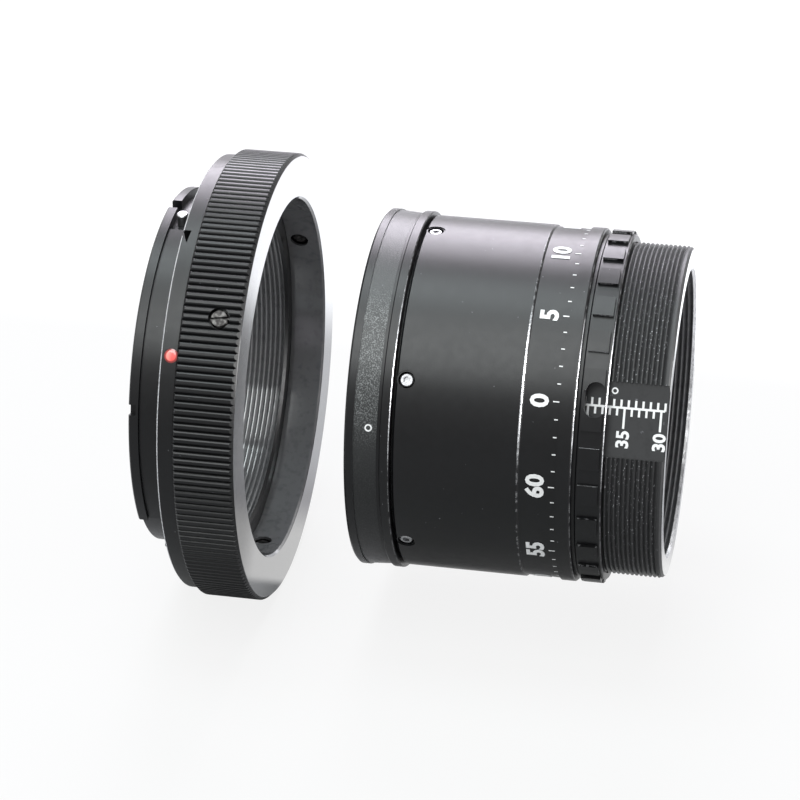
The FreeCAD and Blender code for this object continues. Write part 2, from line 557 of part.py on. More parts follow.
def make_barrel():
    """The smooth barrel: threaded bore, marked band, end rim and six set screw holes."""
    barrel = new_body("barrel")
    radius, band, rim = BARREL_RADIUS, BAND_RADIUS, RIM_RADIUS
    edge = "Sizes.barrel_edge"
    turn_solid(barrel, "barrel_turning", [
        (BARREL_FRONT, BARREL_BORE),
        (BARREL_FRONT, f"{rim} - {edge}"),
        (f"{BARREL_FRONT} - {edge}", rim),
        (f"{BARREL_FRONT} - Sizes.rim_length", rim),
        (f"{BARREL_FRONT} - Sizes.rim_length", band),
        (BAND_BACK, band),
        (f"{BAND_BACK} - ({radius} - {band})", radius),
        (f"{BARREL_BACK} + {edge}", radius),
        (BARREL_BACK, f"{radius} - {edge}"),
        (BARREL_BACK, NECK_BORE),
        (NECK_SHOULDER, NECK_BORE),
        (NECK_SHOULDER, BARREL_BORE),
    ])
    hole_plan = new_sketch(barrel, "set_hole_plan", "XY_Plane")
    draw_circle(hole_plan, SET_SCREWS, "0", SET_HOLE)
    hole = cut_outwards(barrel, "set_hole", hole_plan, f"{radius} + Sizes.cut_reach")
    repeat_round(barrel, hole, "Sizes.set_screw_count")
    recess_plan = new_sketch(barrel, "set_recess_plan", "XY_Plane", "0",
                             f"{radius} - Sizes.set_recess_depth")
    draw_circle(recess_plan, SET_SCREWS, "0", f"{SET_HOLE} + Sizes.set_recess")
    recess = cut_outwards(barrel, "set_recess", recess_plan, "Sizes.set_recess_depth + Sizes.cut_reach")
    repeat_round(barrel, recess, "Sizes.set_screw_count")
    place_round(barrel, "Sizes.set_screw_turn")


def make_barrel_marks():
    """Plain division marks round the barrel's band, one in five of them long."""
    band, width = value(BAND_RADIUS), size("mark_width")
    front = value(BARREL_FRONT) - size("rim_length") - size("mark_gap")
    start, length = Vector(front, 0, 0), size("long_mark_length")
    skin = Part.makeCylinder(band + size("paint_height"), length, start, -X_AXIS)
    skin = skin.cut(Part.makeCylinder(band, length, start, -X_AXIS))
    ticks = []
    count = int(size("mark_count"))
    for number in range(count):
        length = size("long_mark_length") if number % 5 == 0 else size("mark_length")
        blade = Part.makeBox(length, width, band, Vector(front - length, -width / 2, band / 2))
        tick = blade.common(skin)
        tick.rotate(Vector(0, 0, 0), X_AXIS, number * 360 / count)
        ticks.append(tick)
    marks = doc.addObject("Part::Feature", "barrel_marks")
    marks.Shape = Part.makeCompound(ticks)
    place_round(marks, "Sizes.marks_turn")


def make_end_ring():
    """The camera end ring: a neck in the barrel, a flange, and the spigot with its cone."""
    ring = new_body("end_ring")
    edge, bore = "Sizes.spigot_edge", END_BORE
    rim, flange = SPIGOT_RADIUS, FLANGE_RADIUS
    bevel = "Sizes.spigot_edge / 2"
    turn_solid(ring, "end_turning", [
        (NECK_FRONT, bore),
        (NECK_FRONT, f"{NECK_RADIUS} - {edge}"),
        (f"{NECK_FRONT} - {edge}", NECK_RADIUS),
        (FLANGE_FRONT, NECK_RADIUS),
        (FLANGE_FRONT, f"{flange} - {bevel}"),
        (f"{FLANGE_FRONT} - {bevel}", flange),
        (f"{SEAT} + {bevel}", flange),
        (SEAT, f"{flange} - {bevel}"),
        (SEAT, CONE_INNER),
        (RIM_EDGE, CONE_OUTER),
        (RIM_EDGE, rim),
        (f"{SPIGOT_BACK} + {edge}", rim),
        (SPIGOT_BACK, f"{rim} - {edge}"),
        (SPIGOT_BACK, f"{bore} + {edge} * 2"),
        (f"{SPIGOT_BACK} + {edge} * 2", bore),
    ])
    turn_groove(ring, "set_screw_groove",
                vee(SET_SCREWS, f"{NECK_RADIUS} + Sizes.overshoot", GROOVE_FLOOR,
                    "2 * (Sizes.groove_depth + Sizes.overshoot)"))
    pitch = "Sizes.baffle_pitch"
    grooves = f"floor((Sizes.spigot_length + Sizes.flange_width - {edge} * 2) / {pitch})"
    turn_groove(ring, "glare_groove",
                vee(f"({SEAT} + Sizes.flange_width - {pitch})", f"{bore} - Sizes.overshoot",
                    f"{bore} + Sizes.baffle_depth", f"{pitch} * Sizes.baffle_mouth"),
                grooves, pitch)


def make_end_ring_mark():
    """The small painted ring on the clamping cone, the end ring's index."""
    station, turn = f"{SEAT} - Sizes.end_mark_station", "Sizes.end_mark_turn"
    reach = f"max({CONE_OUTER}; {CONE_INNER}) + Sizes.cut_reach"
    rods = []
    for name, radius in (("mark_rod", "Sizes.end_mark_radius"),
                         ("mark_core", "Sizes.end_mark_radius - Sizes.ring_line")):
        rod = doc.addObject("Part::Cylinder", name)
        rod.setExpression("Radius", radius)
        rod.setExpression("Height", reach)
        place_round(rod, turn, station)
        rods.append(rod)
    tube = doc.addObject("Part::Cut", "mark_tube")
    tube.Base, tube.Tool = rods
    # The paint follows the cone: what lies below the cone is cut away, and what stands too high.
    skin = doc.addObject("Part::Cone", "mark_skin")
    skin.setExpression("Radius1", f"{CONE_OUTER} + Sizes.paint_height")
    skin.setExpression("Radius2", f"{CONE_INNER} + Sizes.paint_height")
    core = doc.addObject("Part::Cone", "mark_cone")
    core.setExpression("Radius1", CONE_OUTER)
    core.setExpression("Radius2", CONE_INNER)
    for cone in (skin, core):
        cone.Placement = Placement(Vector(value(RIM_EDGE), 0, 0), Rotation(Vector(0, 1, 0), 90))
        cone.setExpression("Placement.Base.x", RIM_EDGE)
        cone.setExpression("Height", f"{SEAT} - {RIM_EDGE}")
    shell = doc.addObject("Part::Cut", "mark_shell")
    shell.Base, shell.Tool = skin, core
    mark = doc.addObject("Part::Common", "end_ring_mark")
    mark.Base, mark.Tool = tube, shell


def make_set_screw(number):
    """One set screw: cone point in the neck's groove, hexagon socket at the surface."""
    screw = new_body(f"set_screw_{number + 1}")
    top = f"({BARREL_RADIUS} - Sizes.set_screw_sink)"
    point = f"({GROOVE_FLOOR} + Sizes.groove_clearance)"
    radius = "Sizes.set_screw_radius"
    turn_solid(screw, f"set_screw_turning_{number + 1}", [
        ("0", point),
        (radius, f"{point} + {radius}"),
        (radius, f"{top} - Sizes.set_screw_edge"),
        (f"{radius} - Sizes.set_screw_edge", top),
        ("0", top),
    ], "V_Axis")
    socket = new_sketch(screw, f"socket_plan_{number + 1}", "XY_Plane", "0",
                        f"{top} - Sizes.set_socket_depth")
    half_side = "180 / 6"
    reach = f"Sizes.set_socket_width / 2 / cos({half_side})"
    draw_outline(socket, [(f"{reach} * cos({corner} * {half_side})",
                           f"{reach} * sin({corner} * {half_side})")
                          for corner in range(1, 12, 2)])
    cut_outwards(screw, f"hexagon_socket_{number + 1}", socket, "Sizes.set_socket_depth * 2")
    place_round(screw, f"Sizes.set_screw_turn + {number} * 360 / Sizes.set_screw_count", SET_SCREWS)


def make_ring_housing():
    """The knurled housing of the bayonet ring, with the socket that takes the spigot."""
    blank = new_body("housing_blank")
    radius, edge = GRIP_RADIUS, "Sizes.grip_edge"
    turn_solid(blank, "housing_turning", [
        (RING_FACE, f"{SOCKET_RADIUS} + Sizes.spigot_edge"),
        (RING_FACE, f"{radius} - {edge}"),
        (f"{RING_FACE} - {edge}", radius),
        (f"{GRIP_BACK} + Sizes.grip_back_edge", radius),
        (GRIP_BACK, f"{radius} - Sizes.grip_back_edge"),
        (GRIP_BACK, HUB_BORE),
        (SOCKET_END, HUB_BORE),
        (SOCKET_END, SOCKET_RADIUS),
        (f"{RING_FACE} - Sizes.spigot_edge", SOCKET_RADIUS),
    ])
    for alias in CLAMP_TURNS:
        turn = f"Sizes.clamp_turn_1 - Sizes.{alias}"
        hole_plan = new_sketch(blank, f"hole_plan_{alias}", "XY_Plane", turn)
        draw_circle(hole_plan, CLAMPS, "0", CLAMP_HOLE)
        cut_outwards(blank, f"hole_{alias}", hole_plan, f"{radius} + Sizes.cut_reach")
        recess_plan = new_sketch(blank, f"recess_plan_{alias}", "XY_Plane", turn,
                                 f"{radius} - Sizes.clamp_recess_depth")
        draw_circle(recess_plan, CLAMPS, "0", f"{CLAMP_HOLE} + Sizes.clamp_recess")
        cut_outwards(blank, f"recess_{alias}", recess_plan, "Sizes.clamp_recess_depth + Sizes.cut_reach")
    # The plate's screws come in from the camera side, at their own turn.
    tapped = cut_backwards(blank, "plate_screw_bore",
                           f"{PLATE_BACK} + Sizes.plate_screw_length + Sizes.face_gap",
                           "(Sizes.clamp_turn_1 - Sizes.plate_screw_turn)", SHANK_HOLE)
    repeat_round(blank, tapped, "Sizes.plate_screw_count")
    return blank


def make_knurl(blank):
    """Straight knurling: a notched outline, as long as the housing, that trims the blank."""
    count = int(size("knurl_count"))
    crest, floor = value(GRIP_RADIUS) + size("overshoot"), value(KNURL_FLOOR)
    pitch = 2 * math.pi / count
    land, brow = size("knurl_land"), size("knurl_brow")
    shelf = value(GRIP_RADIUS) - size("knurl_brow_depth")
    profile = ((-brow / 2, shelf), (-land / 2, crest), (land / 2, crest), (brow / 2, shelf),
               (1 / 2, floor))
    corners = []
    for tooth in range(count):
        for share, radius in profile:
            turn = (tooth + share) * pitch
            corners.append(Vector(0, -radius * math.sin(turn), radius * math.cos(turn)))
    outline = Part.Face(Part.makePolygon(corners + corners[:1]))
    trim = doc.addObject("Part::Feature", "knurl_trim")
    trim.Shape = outline.extrude(X_AXIS * (size("grip_width") + size("cut_reach")))
    trim.Placement = Placement(Vector(value(GRIP_BACK) - size("cut_reach") / 2, 0, 0), Rotation())
    housing = doc.addObject("Part::Common", "ring_housing")
    housing.Base, housing.Tool = blank, trim
    place_round(housing, "Sizes.clamp_turn_1")


def make_clamp_screw(number):
    """One slotted clamp screw, clear of the socket until it is turned in."""
    screw = new_body(f"clamp_screw_{number + 1}")
    top, radius = CLAMP_TOP, "Sizes.clamp_screw_radius"
    turn_solid(screw, f"clamp_screw_turning_{number + 1}", [
        ("0", CLAMP_TIP),
        (f"{radius} - Sizes.clamp_tip_edge", CLAMP_TIP),
        (radius, f"{CLAMP_TIP} + Sizes.clamp_tip_edge"),
        (radius, f"{top} - Sizes.clamp_head_edge"),
        (f"{radius} - Sizes.clamp_head_edge", top),
        ("0", top),
    ], "V_Axis")
    slot = new_sketch(screw, f"slot_plan_{number + 1}", "XY_Plane", "0",
                      f"{top} - Sizes.slot_depth")
    draw_bar(slot, f"{radius} + Sizes.cut_reach", "Sizes.slot_width / 2")
    cut_outwards(screw, f"screw_slot_{number + 1}", slot, "Sizes.slot_depth * 2")
    place_round(screw, f"Sizes.clamp_turn_{number + 1}", CLAMPS, "Sizes.slot_twist")


def draw_bar(sketch, half_across, half_up):
    """Draws a rectangle centred on the sketch's origin."""
    draw_outline(sketch, [(f"-({half_across})", f"-({half_up})"), (half_across, f"-({half_up})"),
                          (half_across, half_up), (f"-({half_across})", half_up)])


def make_bayonet_plate():
    """The bayonet plate: hub in the housing, smooth band, collar, lugs and inner thread."""
    plate = new_body("bayonet_plate")
    radius, edge = PLATE_RADIUS, "Sizes.plate_edge"
    thread, throat = CAMERA_THREAD, THROAT_RADIUS
    hub_face = f"({SOCKET_END} - Sizes.face_gap)"
    band_face = f"({GRIP_BACK} - Sizes.face_gap)"
    turn_solid(plate, "plate_turning", [
        (hub_face, f"{thread} + Sizes.camera_thread_depth"),
        (hub_face, HUB_RADIUS),
        (band_face, HUB_RADIUS),
        (band_face, f"{radius} - {edge}"),
        (f"{band_face} - {edge}", radius),
        (f"{PLATE_BACK} + {edge}", radius),
        (PLATE_BACK, f"{radius} - {edge}"),
        (PLATE_BACK, RELIEF_RADIUS),
        (f"{PLATE_BACK} + Sizes.relief_depth", RELIEF_RADIUS),
        (f"{PLATE_BACK} + Sizes.relief_depth", COLLAR_RADIUS),
        (BAYONET_END, COLLAR_RADIUS),
        (BAYONET_END, f"{throat} + {edge}"),
        (f"{BAYONET_END} + {edge}", throat),
        (THREAD_END, throat),
        (THREAD_END, thread),
        (f"{hub_face} - Sizes.camera_thread_depth", thread),
    ])
    edge, inner = "Sizes.plate_edge", f"{COLLAR_RADIUS} - Sizes.plate_edge"
    lug = [
        (BAYONET_END, inner),
        (LUG_FRONT, inner),
        (LUG_FRONT, LUG_RADIUS),
        (f"{BAYONET_END} + {edge}", LUG_RADIUS),
        (BAYONET_END, f"{LUG_RADIUS} - {edge}"),
    ]
    for number in (1, 2, 3):
        add_sector(plate, f"lug_{number}", lug, f"Sizes.lug_{number}_start", f"Sizes.lug_{number}_end")
    relief = f"({PLATE_BACK} + Sizes.relief_depth)"
    add_sector(plate, "shoulder", [
        (LUG_FRONT, inner),
        (relief, inner),
        (relief, SHOULDER_RADIUS),
        (LUG_FRONT, SHOULDER_RADIUS),
    ], "Sizes.lug_1_start", "Sizes.shoulder_end")
    cut_plate_details(plate)


def add_sector(plate, name, outline, low, high):
    """Turns an outline from one direction to another, as the lugs are on their collar."""
    sector_plan = new_sketch(plate, name + "_plan", "XZ_Plane", f"90 - {high}")
    draw_outline(sector_plan, outline)
    sector = plate.newObject("PartDesign::Revolution", name)
    sector.Profile = sector_plan
    sector.ReferenceAxis = (sector_plan, ["H_Axis"])
    sector.setExpression("Angle", f"{high} - ({low})")


def cut_plate_details(plate):
    """Cuts the plate's inner thread, holes, notch, lock pin slot and dot recess."""
    thread, pitch = CAMERA_THREAD, "Sizes.camera_thread_pitch"
    depth = "Sizes.camera_thread_depth"
    turns = f"floor((Sizes.camera_thread_length - {depth}) / {pitch})"
    turn_groove(plate, "camera_thread",
                vee(f"({SOCKET_END} - {depth} - {pitch} / 2)", f"{thread} - Sizes.overshoot",
                    f"{thread} + {depth}", f"{pitch} * Sizes.thread_mouth"),
                turns, pitch)
    notch_plan = new_sketch(plate, "lug_notch_plan", "XY_Plane", "90 - Sizes.lug_notch_turn",
                            f"{LUG_RADIUS} - Sizes.lug_notch_depth")
    half = "Sizes.lug_notch_width / 2"
    front = f"{BAYONET_END} + Sizes.lug_notch_length"
    back = f"{BAYONET_END} - Sizes.cut_reach"
    draw_outline(notch_plan, [(back, f"-{half}"), (front, f"-{half}"), (front, half), (back, half)])
    cut_outwards(plate, "lug_notch", notch_plan, "Sizes.lug_notch_depth + Sizes.cut_reach")
    pin_plan = new_sketch(plate, "pin_slot_plan", "XY_Plane", "90 - Sizes.pin_slot_turn",
                          f"{PLATE_RADIUS} - Sizes.pin_slot_reach")
    half = "Sizes.pin_slot_width / 2"
    draw_outline(pin_plan, [(f"{PLATE_BACK} - Sizes.pin_slot_depth / 2", half),
                            (f"{PLATE_BACK} + Sizes.pin_slot_depth", half),
                            (f"{PLATE_BACK} + Sizes.pin_slot_tip", f"-{half}")])
    cut_outwards(plate, "lock_pin_slot", pin_plan, "Sizes.pin_slot_reach + Sizes.cut_reach")
    dot_plan = new_sketch(plate, "dot_plan", "XY_Plane", "90 - Sizes.index_dot_turn",
                          f"{PLATE_RADIUS} - Sizes.index_dot_depth")
    draw_circle(dot_plan, DOT_STATION, "0",
                "Sizes.index_dot_radius + Sizes.face_gap")
    cut_outwards(plate, "dot_recess", dot_plan, "Sizes.index_dot_depth + Sizes.cut_reach")
    for name, inner, radius in (("stop_hole", f"{THROAT_RADIUS} + Sizes.stop_root",
                                 "Sizes.stop_shank_radius + Sizes.face_gap"),
                                ("stop_seat", COLLAR_RADIUS, STOP_HOLE)):
        stop_plan = new_sketch(plate, name + "_plan", "XY_Plane", "90 - Sizes.stop_turn", inner)
        draw_circle(stop_plan, STOP_STATION, "0", radius)
        cut_outwards(plate, name, stop_plan, "Sizes.collar_wall + Sizes.cut_reach")
    turn = "(90 - Sizes.plate_screw_turn)"
    for name, radius, start in (("shank_hole", SHANK_HOLE, GRIP_BACK),
                                ("head_hole", HEAD_HOLE,
                                 f"{PLATE_BACK} + Sizes.plate_screw_head_height")):
        hole = cut_backwards(plate, name, start, turn, radius)
        repeat_round(plate, hole, "Sizes.plate_screw_count")


def make_plate_screw(number):
    """One slotted screw that holds the bayonet plate to the housing."""
    screw = new_body(f"plate_screw_{number + 1}")
    shank, head = "Sizes.plate_screw_shank_radius", "Sizes.plate_screw_head_radius"
    under_head = f"{PLATE_BACK} + Sizes.plate_screw_head_height"
    turn_solid(screw, f"plate_screw_turning_{number + 1}", [
        (PLATE_BACK, "0"),
        (PLATE_BACK, f"{head} - Sizes.small_edge"),
        (f"{PLATE_BACK} + Sizes.small_edge", head),
        (under_head, head),
        (under_head, shank),
        (f"{PLATE_BACK} + Sizes.plate_screw_length", shank),
        (f"{PLATE_BACK} + Sizes.plate_screw_length", "0"),
    ])
    slot = new_sketch(screw, f"plate_slot_plan_{number + 1}", "YZ_Plane", "0",
                      f"{PLATE_BACK} + Sizes.slot_depth")
    draw_bar(slot, f"{head} + Sizes.cut_reach", "Sizes.slot_width / 2")
    cut = screw.newObject("PartDesign::Pocket", f"plate_slot_{number + 1}")
    cut.Profile = slot
    cut.Type = "Length"
    cut.setExpression("Length", "Sizes.slot_depth * 2")
    turn = f"(Sizes.plate_screw_turn + {number} * 360 / Sizes.plate_screw_count)"
    across = f"-{SCREW_CIRCLE} * cos({turn})"
    up = f"{SCREW_CIRCLE} * sin({turn})"
    screw.Placement = Placement(Vector(0, value(across), value(up)), Rotation())
    screw.setExpression("Placement.Base.y", across)
    screw.setExpression("Placement.Base.z", up)


def make_stop_screw():
    """The screw that stops the bayonet's turn; its head stands beside the long lug."""
    screw = new_body("bayonet_stop_screw")
    head, shank = "Sizes.stop_radius", "Sizes.stop_shank_radius"
    root, seat = f"{THROAT_RADIUS} + Sizes.stop_root", f"{COLLAR_RADIUS} + Sizes.face_gap"
    turn_solid(screw, "stop_screw_turning", [
        ("0", root),
        (shank, root),
        (shank, seat),
        (head, seat),
        (head, f"{STOP_REACH} - Sizes.small_edge"),
        (f"{head} - Sizes.small_edge", STOP_REACH),
        ("0", STOP_REACH),
    ], "V_Axis")
    place_round(screw, "Sizes.stop_turn", STOP_STATION)


def make_index_dot():
    """The red dot that shows how the bayonet goes into the camera."""
    dot = new_body("index_dot")
    radius, top = "Sizes.index_dot_radius", f"{PLATE_RADIUS} + Sizes.index_dot_rise"
    turn_solid(dot, "index_dot_turning", [
        ("0", f"{PLATE_RADIUS} - Sizes.index_dot_depth"),
        (radius, f"{PLATE_RADIUS} - Sizes.index_dot_depth"),
        (radius, f"{top} - Sizes.index_dot_edge"),
        (f"{radius} - Sizes.index_dot_edge", top),
        ("0", top),
    ], "V_Axis")
    place_round(dot, "Sizes.index_dot_turn", DOT_STATION)


def node_names():
    """The names of all pieces, in the order of the assembly."""
    names = ["draw_tube", "scale_marks", "lock_ring", "barrel", "barrel_marks"]
    names += [f"set_screw_{number + 1}" for number in range(int(size("set_screw_count")))]
    names += ["end_ring", "end_ring_mark", "ring_housing"]
    names += [f"clamp_screw_{number + 1}" for number in range(len(CLAMP_TURNS))]
    names += ["bayonet_plate"]
    names += [f"plate_screw_{number + 1}" for number in range(int(size("plate_screw_count")))]
    return names + ["bayonet_stop_screw", "index_dot"]


def main():
    """Builds every piece, checks it and writes it to its own file."""
    make_draw_tube()
    make_scale_marks()
    make_lock_ring()
    make_barrel()
    make_barrel_marks()
    make_end_ring()
    make_end_ring_mark()
    for number in range(int(size("set_screw_count"))):
        make_set_screw(number)
    make_knurl(make_ring_housing())
    for number in range(len(CLAMP_TURNS)):
        make_clamp_screw(number)
    make_bayonet_plate()
    for number in range(int(size("plate_screw_count"))):
        make_plate_screw(number)
    make_stop_screw()
    make_index_dot()
    doc.recompute()
    for thing in doc.Objects:
        if "Invalid" in thing.State or "Error" in thing.State:
            raise RuntimeError(f"{thing.Label} failed: {thing.State}")
    pieces = {name: doc.getObject(name).Shape for name in node_names()}
    for name, shape in pieces.items():
        if shape.isNull() or not shape.isValid():
            raise RuntimeError(f"{name} has no valid shape")
    os.makedirs("parts", exist_ok=True)
    for name, shape in pieces.items():
        shape.exportStep(f"parts/{name}.step")
        print(f"{name}: {len(shape.Solids)} solids, {shape.Volume:.2f} mm3")


main()
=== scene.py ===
"""Dresses a telescope extension tube and its camera bayonet ring: finishes, numbers, stage."""

import math

import bmesh
import bpy
from bpy.props import FloatProperty, FloatVectorProperty, IntProperty, PointerProperty
from mathutils import Matrix, Vector


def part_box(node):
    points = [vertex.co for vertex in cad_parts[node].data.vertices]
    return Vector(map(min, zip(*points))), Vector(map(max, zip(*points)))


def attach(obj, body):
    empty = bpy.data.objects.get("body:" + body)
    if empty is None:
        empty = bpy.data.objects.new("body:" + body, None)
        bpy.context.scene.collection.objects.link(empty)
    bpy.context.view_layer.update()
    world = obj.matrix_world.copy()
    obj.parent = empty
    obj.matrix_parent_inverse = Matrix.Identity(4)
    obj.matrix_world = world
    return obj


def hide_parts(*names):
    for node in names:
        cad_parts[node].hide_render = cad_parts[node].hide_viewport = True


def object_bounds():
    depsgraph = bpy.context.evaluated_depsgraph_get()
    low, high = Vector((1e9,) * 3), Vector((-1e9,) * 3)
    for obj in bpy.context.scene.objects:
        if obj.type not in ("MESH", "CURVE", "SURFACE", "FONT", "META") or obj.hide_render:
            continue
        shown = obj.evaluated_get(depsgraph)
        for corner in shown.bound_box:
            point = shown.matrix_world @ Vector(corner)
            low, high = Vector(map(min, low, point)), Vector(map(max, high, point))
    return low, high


bl_info = {
    "name": "Extension tube set",
    "version": (1, 0, 0),
    "blender": (4, 5, 0),
    "location": "3D View > Sidebar > Tube set",
    "description": "Finishes, numbers and stage for an extension tube and its bayonet ring",
    "category": "Object",
}

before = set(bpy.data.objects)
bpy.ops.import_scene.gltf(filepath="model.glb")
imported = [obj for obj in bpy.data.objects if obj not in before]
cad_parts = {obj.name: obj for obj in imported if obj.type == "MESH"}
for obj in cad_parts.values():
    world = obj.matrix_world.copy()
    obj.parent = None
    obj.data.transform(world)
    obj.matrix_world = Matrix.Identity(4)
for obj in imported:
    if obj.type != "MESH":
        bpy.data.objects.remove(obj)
cad_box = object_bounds()

MM = 0.001

# Stations along the axis and one radius in millimetres, read from the frame's own nodes
RING_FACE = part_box("ring_housing")[1].x / MM
PLATE_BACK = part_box("plate_screw_1")[0].x / MM
LOCK_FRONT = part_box("lock_ring")[1].x / MM
BARREL_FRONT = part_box("barrel")[1].x / MM
PAD_RADIUS = (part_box("lock_ring")[1].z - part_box("lock_ring")[0].z) / 2 / MM

# Places of the finishes: back and front station, then low and high radius, in millimetres
TUBE_MOUTH_EDGE = (-0.4, 0.1, 20.5, 21.0)
TUBE_FACE = (-0.05, 0.05, 21.0, 23.5)
TUBE_BORE = (-30.0, -6.0, 16.0, 21.6)
TUBE_MOUTH = (-6.0, -0.05, 18.0, 21.2)
TUBE_THREAD = (-12.0, -0.1, 22.9, 24.0)
TUBE_CRESTS = (-12.0, -0.9, 23.62, 24.0)
LOCK_EDGE = (LOCK_FRONT - 0.1, LOCK_FRONT + 0.1, 24.75, 25.6)
PAD_WALLS = (LOCK_FRONT - 3.4, LOCK_FRONT - 0.5, PAD_RADIUS - 0.32, PAD_RADIUS - 0.03)
BARREL_EDGE = (BARREL_FRONT - 0.13, BARREL_FRONT - 0.02, 25.2, 25.7)
BAND_EDGE = (-20.0, -19.76, 25.1, 25.6)
FLANGE_EDGE = (-37.82, -37.73, 25.8, 26.1)
CONE = (-42.75, -39.5, 25.3, 26.0)
PLATE_EDGE = (PLATE_BACK - 0.1, PLATE_BACK + 0.19, 31.7, 32.1)
PLATE_BORE = (-75.0, -63.7, 16.0, 24.4)
PLATE_THREAD = (-71.0, -63.7, 22.9, 24.3)
HOUSING_FACE = (RING_FACE - 0.05, RING_FACE + 0.05, 26.0, 33.0)
SOCKET_WALL = (RING_FACE - 5.1, RING_FACE - 0.05, 25.5, 26.7)
HOUSING_BORE = (RING_FACE - 8.6, RING_FACE - 0.05, 20.0, 26.7)

# Patterns in the finishes: cells to the millimetre, and detail
PATCHES = (0.9, 3.0)
GRAIN = (7.0, 2.0)
CONE_GRAIN = (6.5, 1.0)
STEEL_PATCHES = (2.0, 3.0)
STEEL_GRAIN = (3.0, 2.0)
DARK_PATCHES = (1.6, 4.0)
DARK_GRAIN = (5.0, 2.0)
PAINT_PATCHES = (3.0, 3.0)
PAINT_GRAIN = (8.0, 2.0)

# Rings of the lathe's tool to the millimetre, and specks as cells to the millimetre and reach
LATHE_RINGS = 5.0
GLINTS = (2.3, 0.2)
DUST_CELLS = 0.55

# The anodised surface: roughness, what a polish takes off it, darkest and lightest share of its
# colour, and depths of its relief in millimetres
SATIN = 0.34
POLISH = 0.2
DARKER = 0.7
LIGHTER = 1.3
GRAIN_DEPTH = 0.003
LATHE_DEPTH = 0.0025
CONE_DEPTH = 0.03

# Colours that no setting changes
GLINT = (0.4, 0.4, 0.42, 1)
# The cone's bare grain, and its painted glints and sheen
CONE_BARE_AND_SHEEN = (0.16, 0.165, 0.165, 1)
DUST = (0.12, 0.12, 0.13, 1)
BLACKENED_STEEL = (0.016, 0.015, 0.015, 1)
WORN_STEEL = (0.1, 0.097, 0.094, 1)
PALE_RED = (1.0, 0.22, 0.18, 1)
WHITE = (1, 1, 1, 1)

# A wall whose normal is this near to straight outward, as a cosine, counts as round
ROUND_WALL = 0.995

# The digits: the share of the font's size that one is high, how much their strokes and width
# gain, and the width in millimetres of the strips that bend round the band
DIGIT_SHARE = 0.73
BOLDER = 0.045
WIDER = 1.06
SLICE = 0.4

# The scale's numbers as readings, and every how many divisions the band has one
READINGS = (30, 35, 40, 45)
NUMBERED = 5

# The red dot, in millimetres: radius of the band it lies in, how far its bead stands out of that
# and how deep it is, and the steps of the bead's rim as inset and rise
BAND_RADIUS = 32.05
DOT_PROUD = 0.02
DOT_DEPTH = 0.6
DOT_STEPS = ((0.12, 0.05), (0.14, 0.03), (0.18, 0.015))

# The floor's width in metres, and its gap in millimetres under the lowest piece
FLOOR_SIZE = 8
FLOOR_GAP = 0.02

# The floor's grading, in millimetres from the axis: where the camera sees it turn white, the
# pale strip that a gloss sees under the object, and where the paper behind turns lighter. The
# strip and the lighter paper are painted reflections that set what the black metal mirrors.
FAR_FLOOR = (120.0, 500.0)
STRIP_FRONT = (-4.5, -1.5)
STRIP_BACK = (12.0, 26.0)
STRIP_WHITE = 0.9
PAPER_BEHIND = (80.0, 112.0)

# The lamps, in metres: those of the arc have a rise in degrees and a colour
ARC = (("front_lamp", 54, (0.96, 1.0, 1.0)),
       ("top_lamp", 92, (0.89, 0.98, 1.0)),
       ("back_lamp", 140, (0.95, 0.9, 1.0)))
LAMP_DISTANCE = 0.7
LAMP_WIDTH = 0.3
LAMP_LENGTH = 0.5
LAMP_STATION = -0.147
LAMP_TARGET = (-0.037, 0, 0)
SIDE_LAMP_PLACE = (0.55, -0.02, 0.07)
SIDE_LAMP_HEIGHT = 0.2

# The camera, from a fit of the photograph's perspective
PICTURE_PIXELS = 800
SENSOR_WIDTH = 36
FOCAL_PIXELS = 2793.287
CAMERA_PLACE = (27.393, -362.897, 173.419)
CAMERA_ANGLES = (10.674, 25.415, 0.557)


# Materials

def shade(colour, share):
    """A colour made darker or lighter by a share, with full alpha."""
    return (*(part * share for part in colour), 1)


class Number:
    """A number in a material's nodes that takes part in Python sums."""

    def __init__(self, finish, socket):
        self.finish = finish
        self.socket = socket

    def work_out(self, operation, first, second=0.0):
        """Adds a Math node and gives its result."""
        return self.finish.node("ShaderNodeMath", {"operation": operation}, [first, second])

    def __add__(self, other):
        return self.work_out("ADD", self, other)

    def __radd__(self, other):
        return self.work_out("ADD", other, self)

    def __sub__(self, other):
        return self.work_out("SUBTRACT", self, other)

    def __rsub__(self, other):
        return self.work_out("SUBTRACT", other, self)

    def __mul__(self, other):
        return self.work_out("MULTIPLY", self, other)

    def __rmul__(self, other):
        return self.work_out("MULTIPLY", other, self)

    def __pow__(self, other):
        return self.work_out("POWER", self, other)

    def __abs__(self):
        return self.work_out("ABSOLUTE", self)

    def __lt__(self, other):
        return self.work_out("LESS_THAN", self, other)

    def __gt__(self, other):
        return self.work_out("GREATER_THAN", self, other)


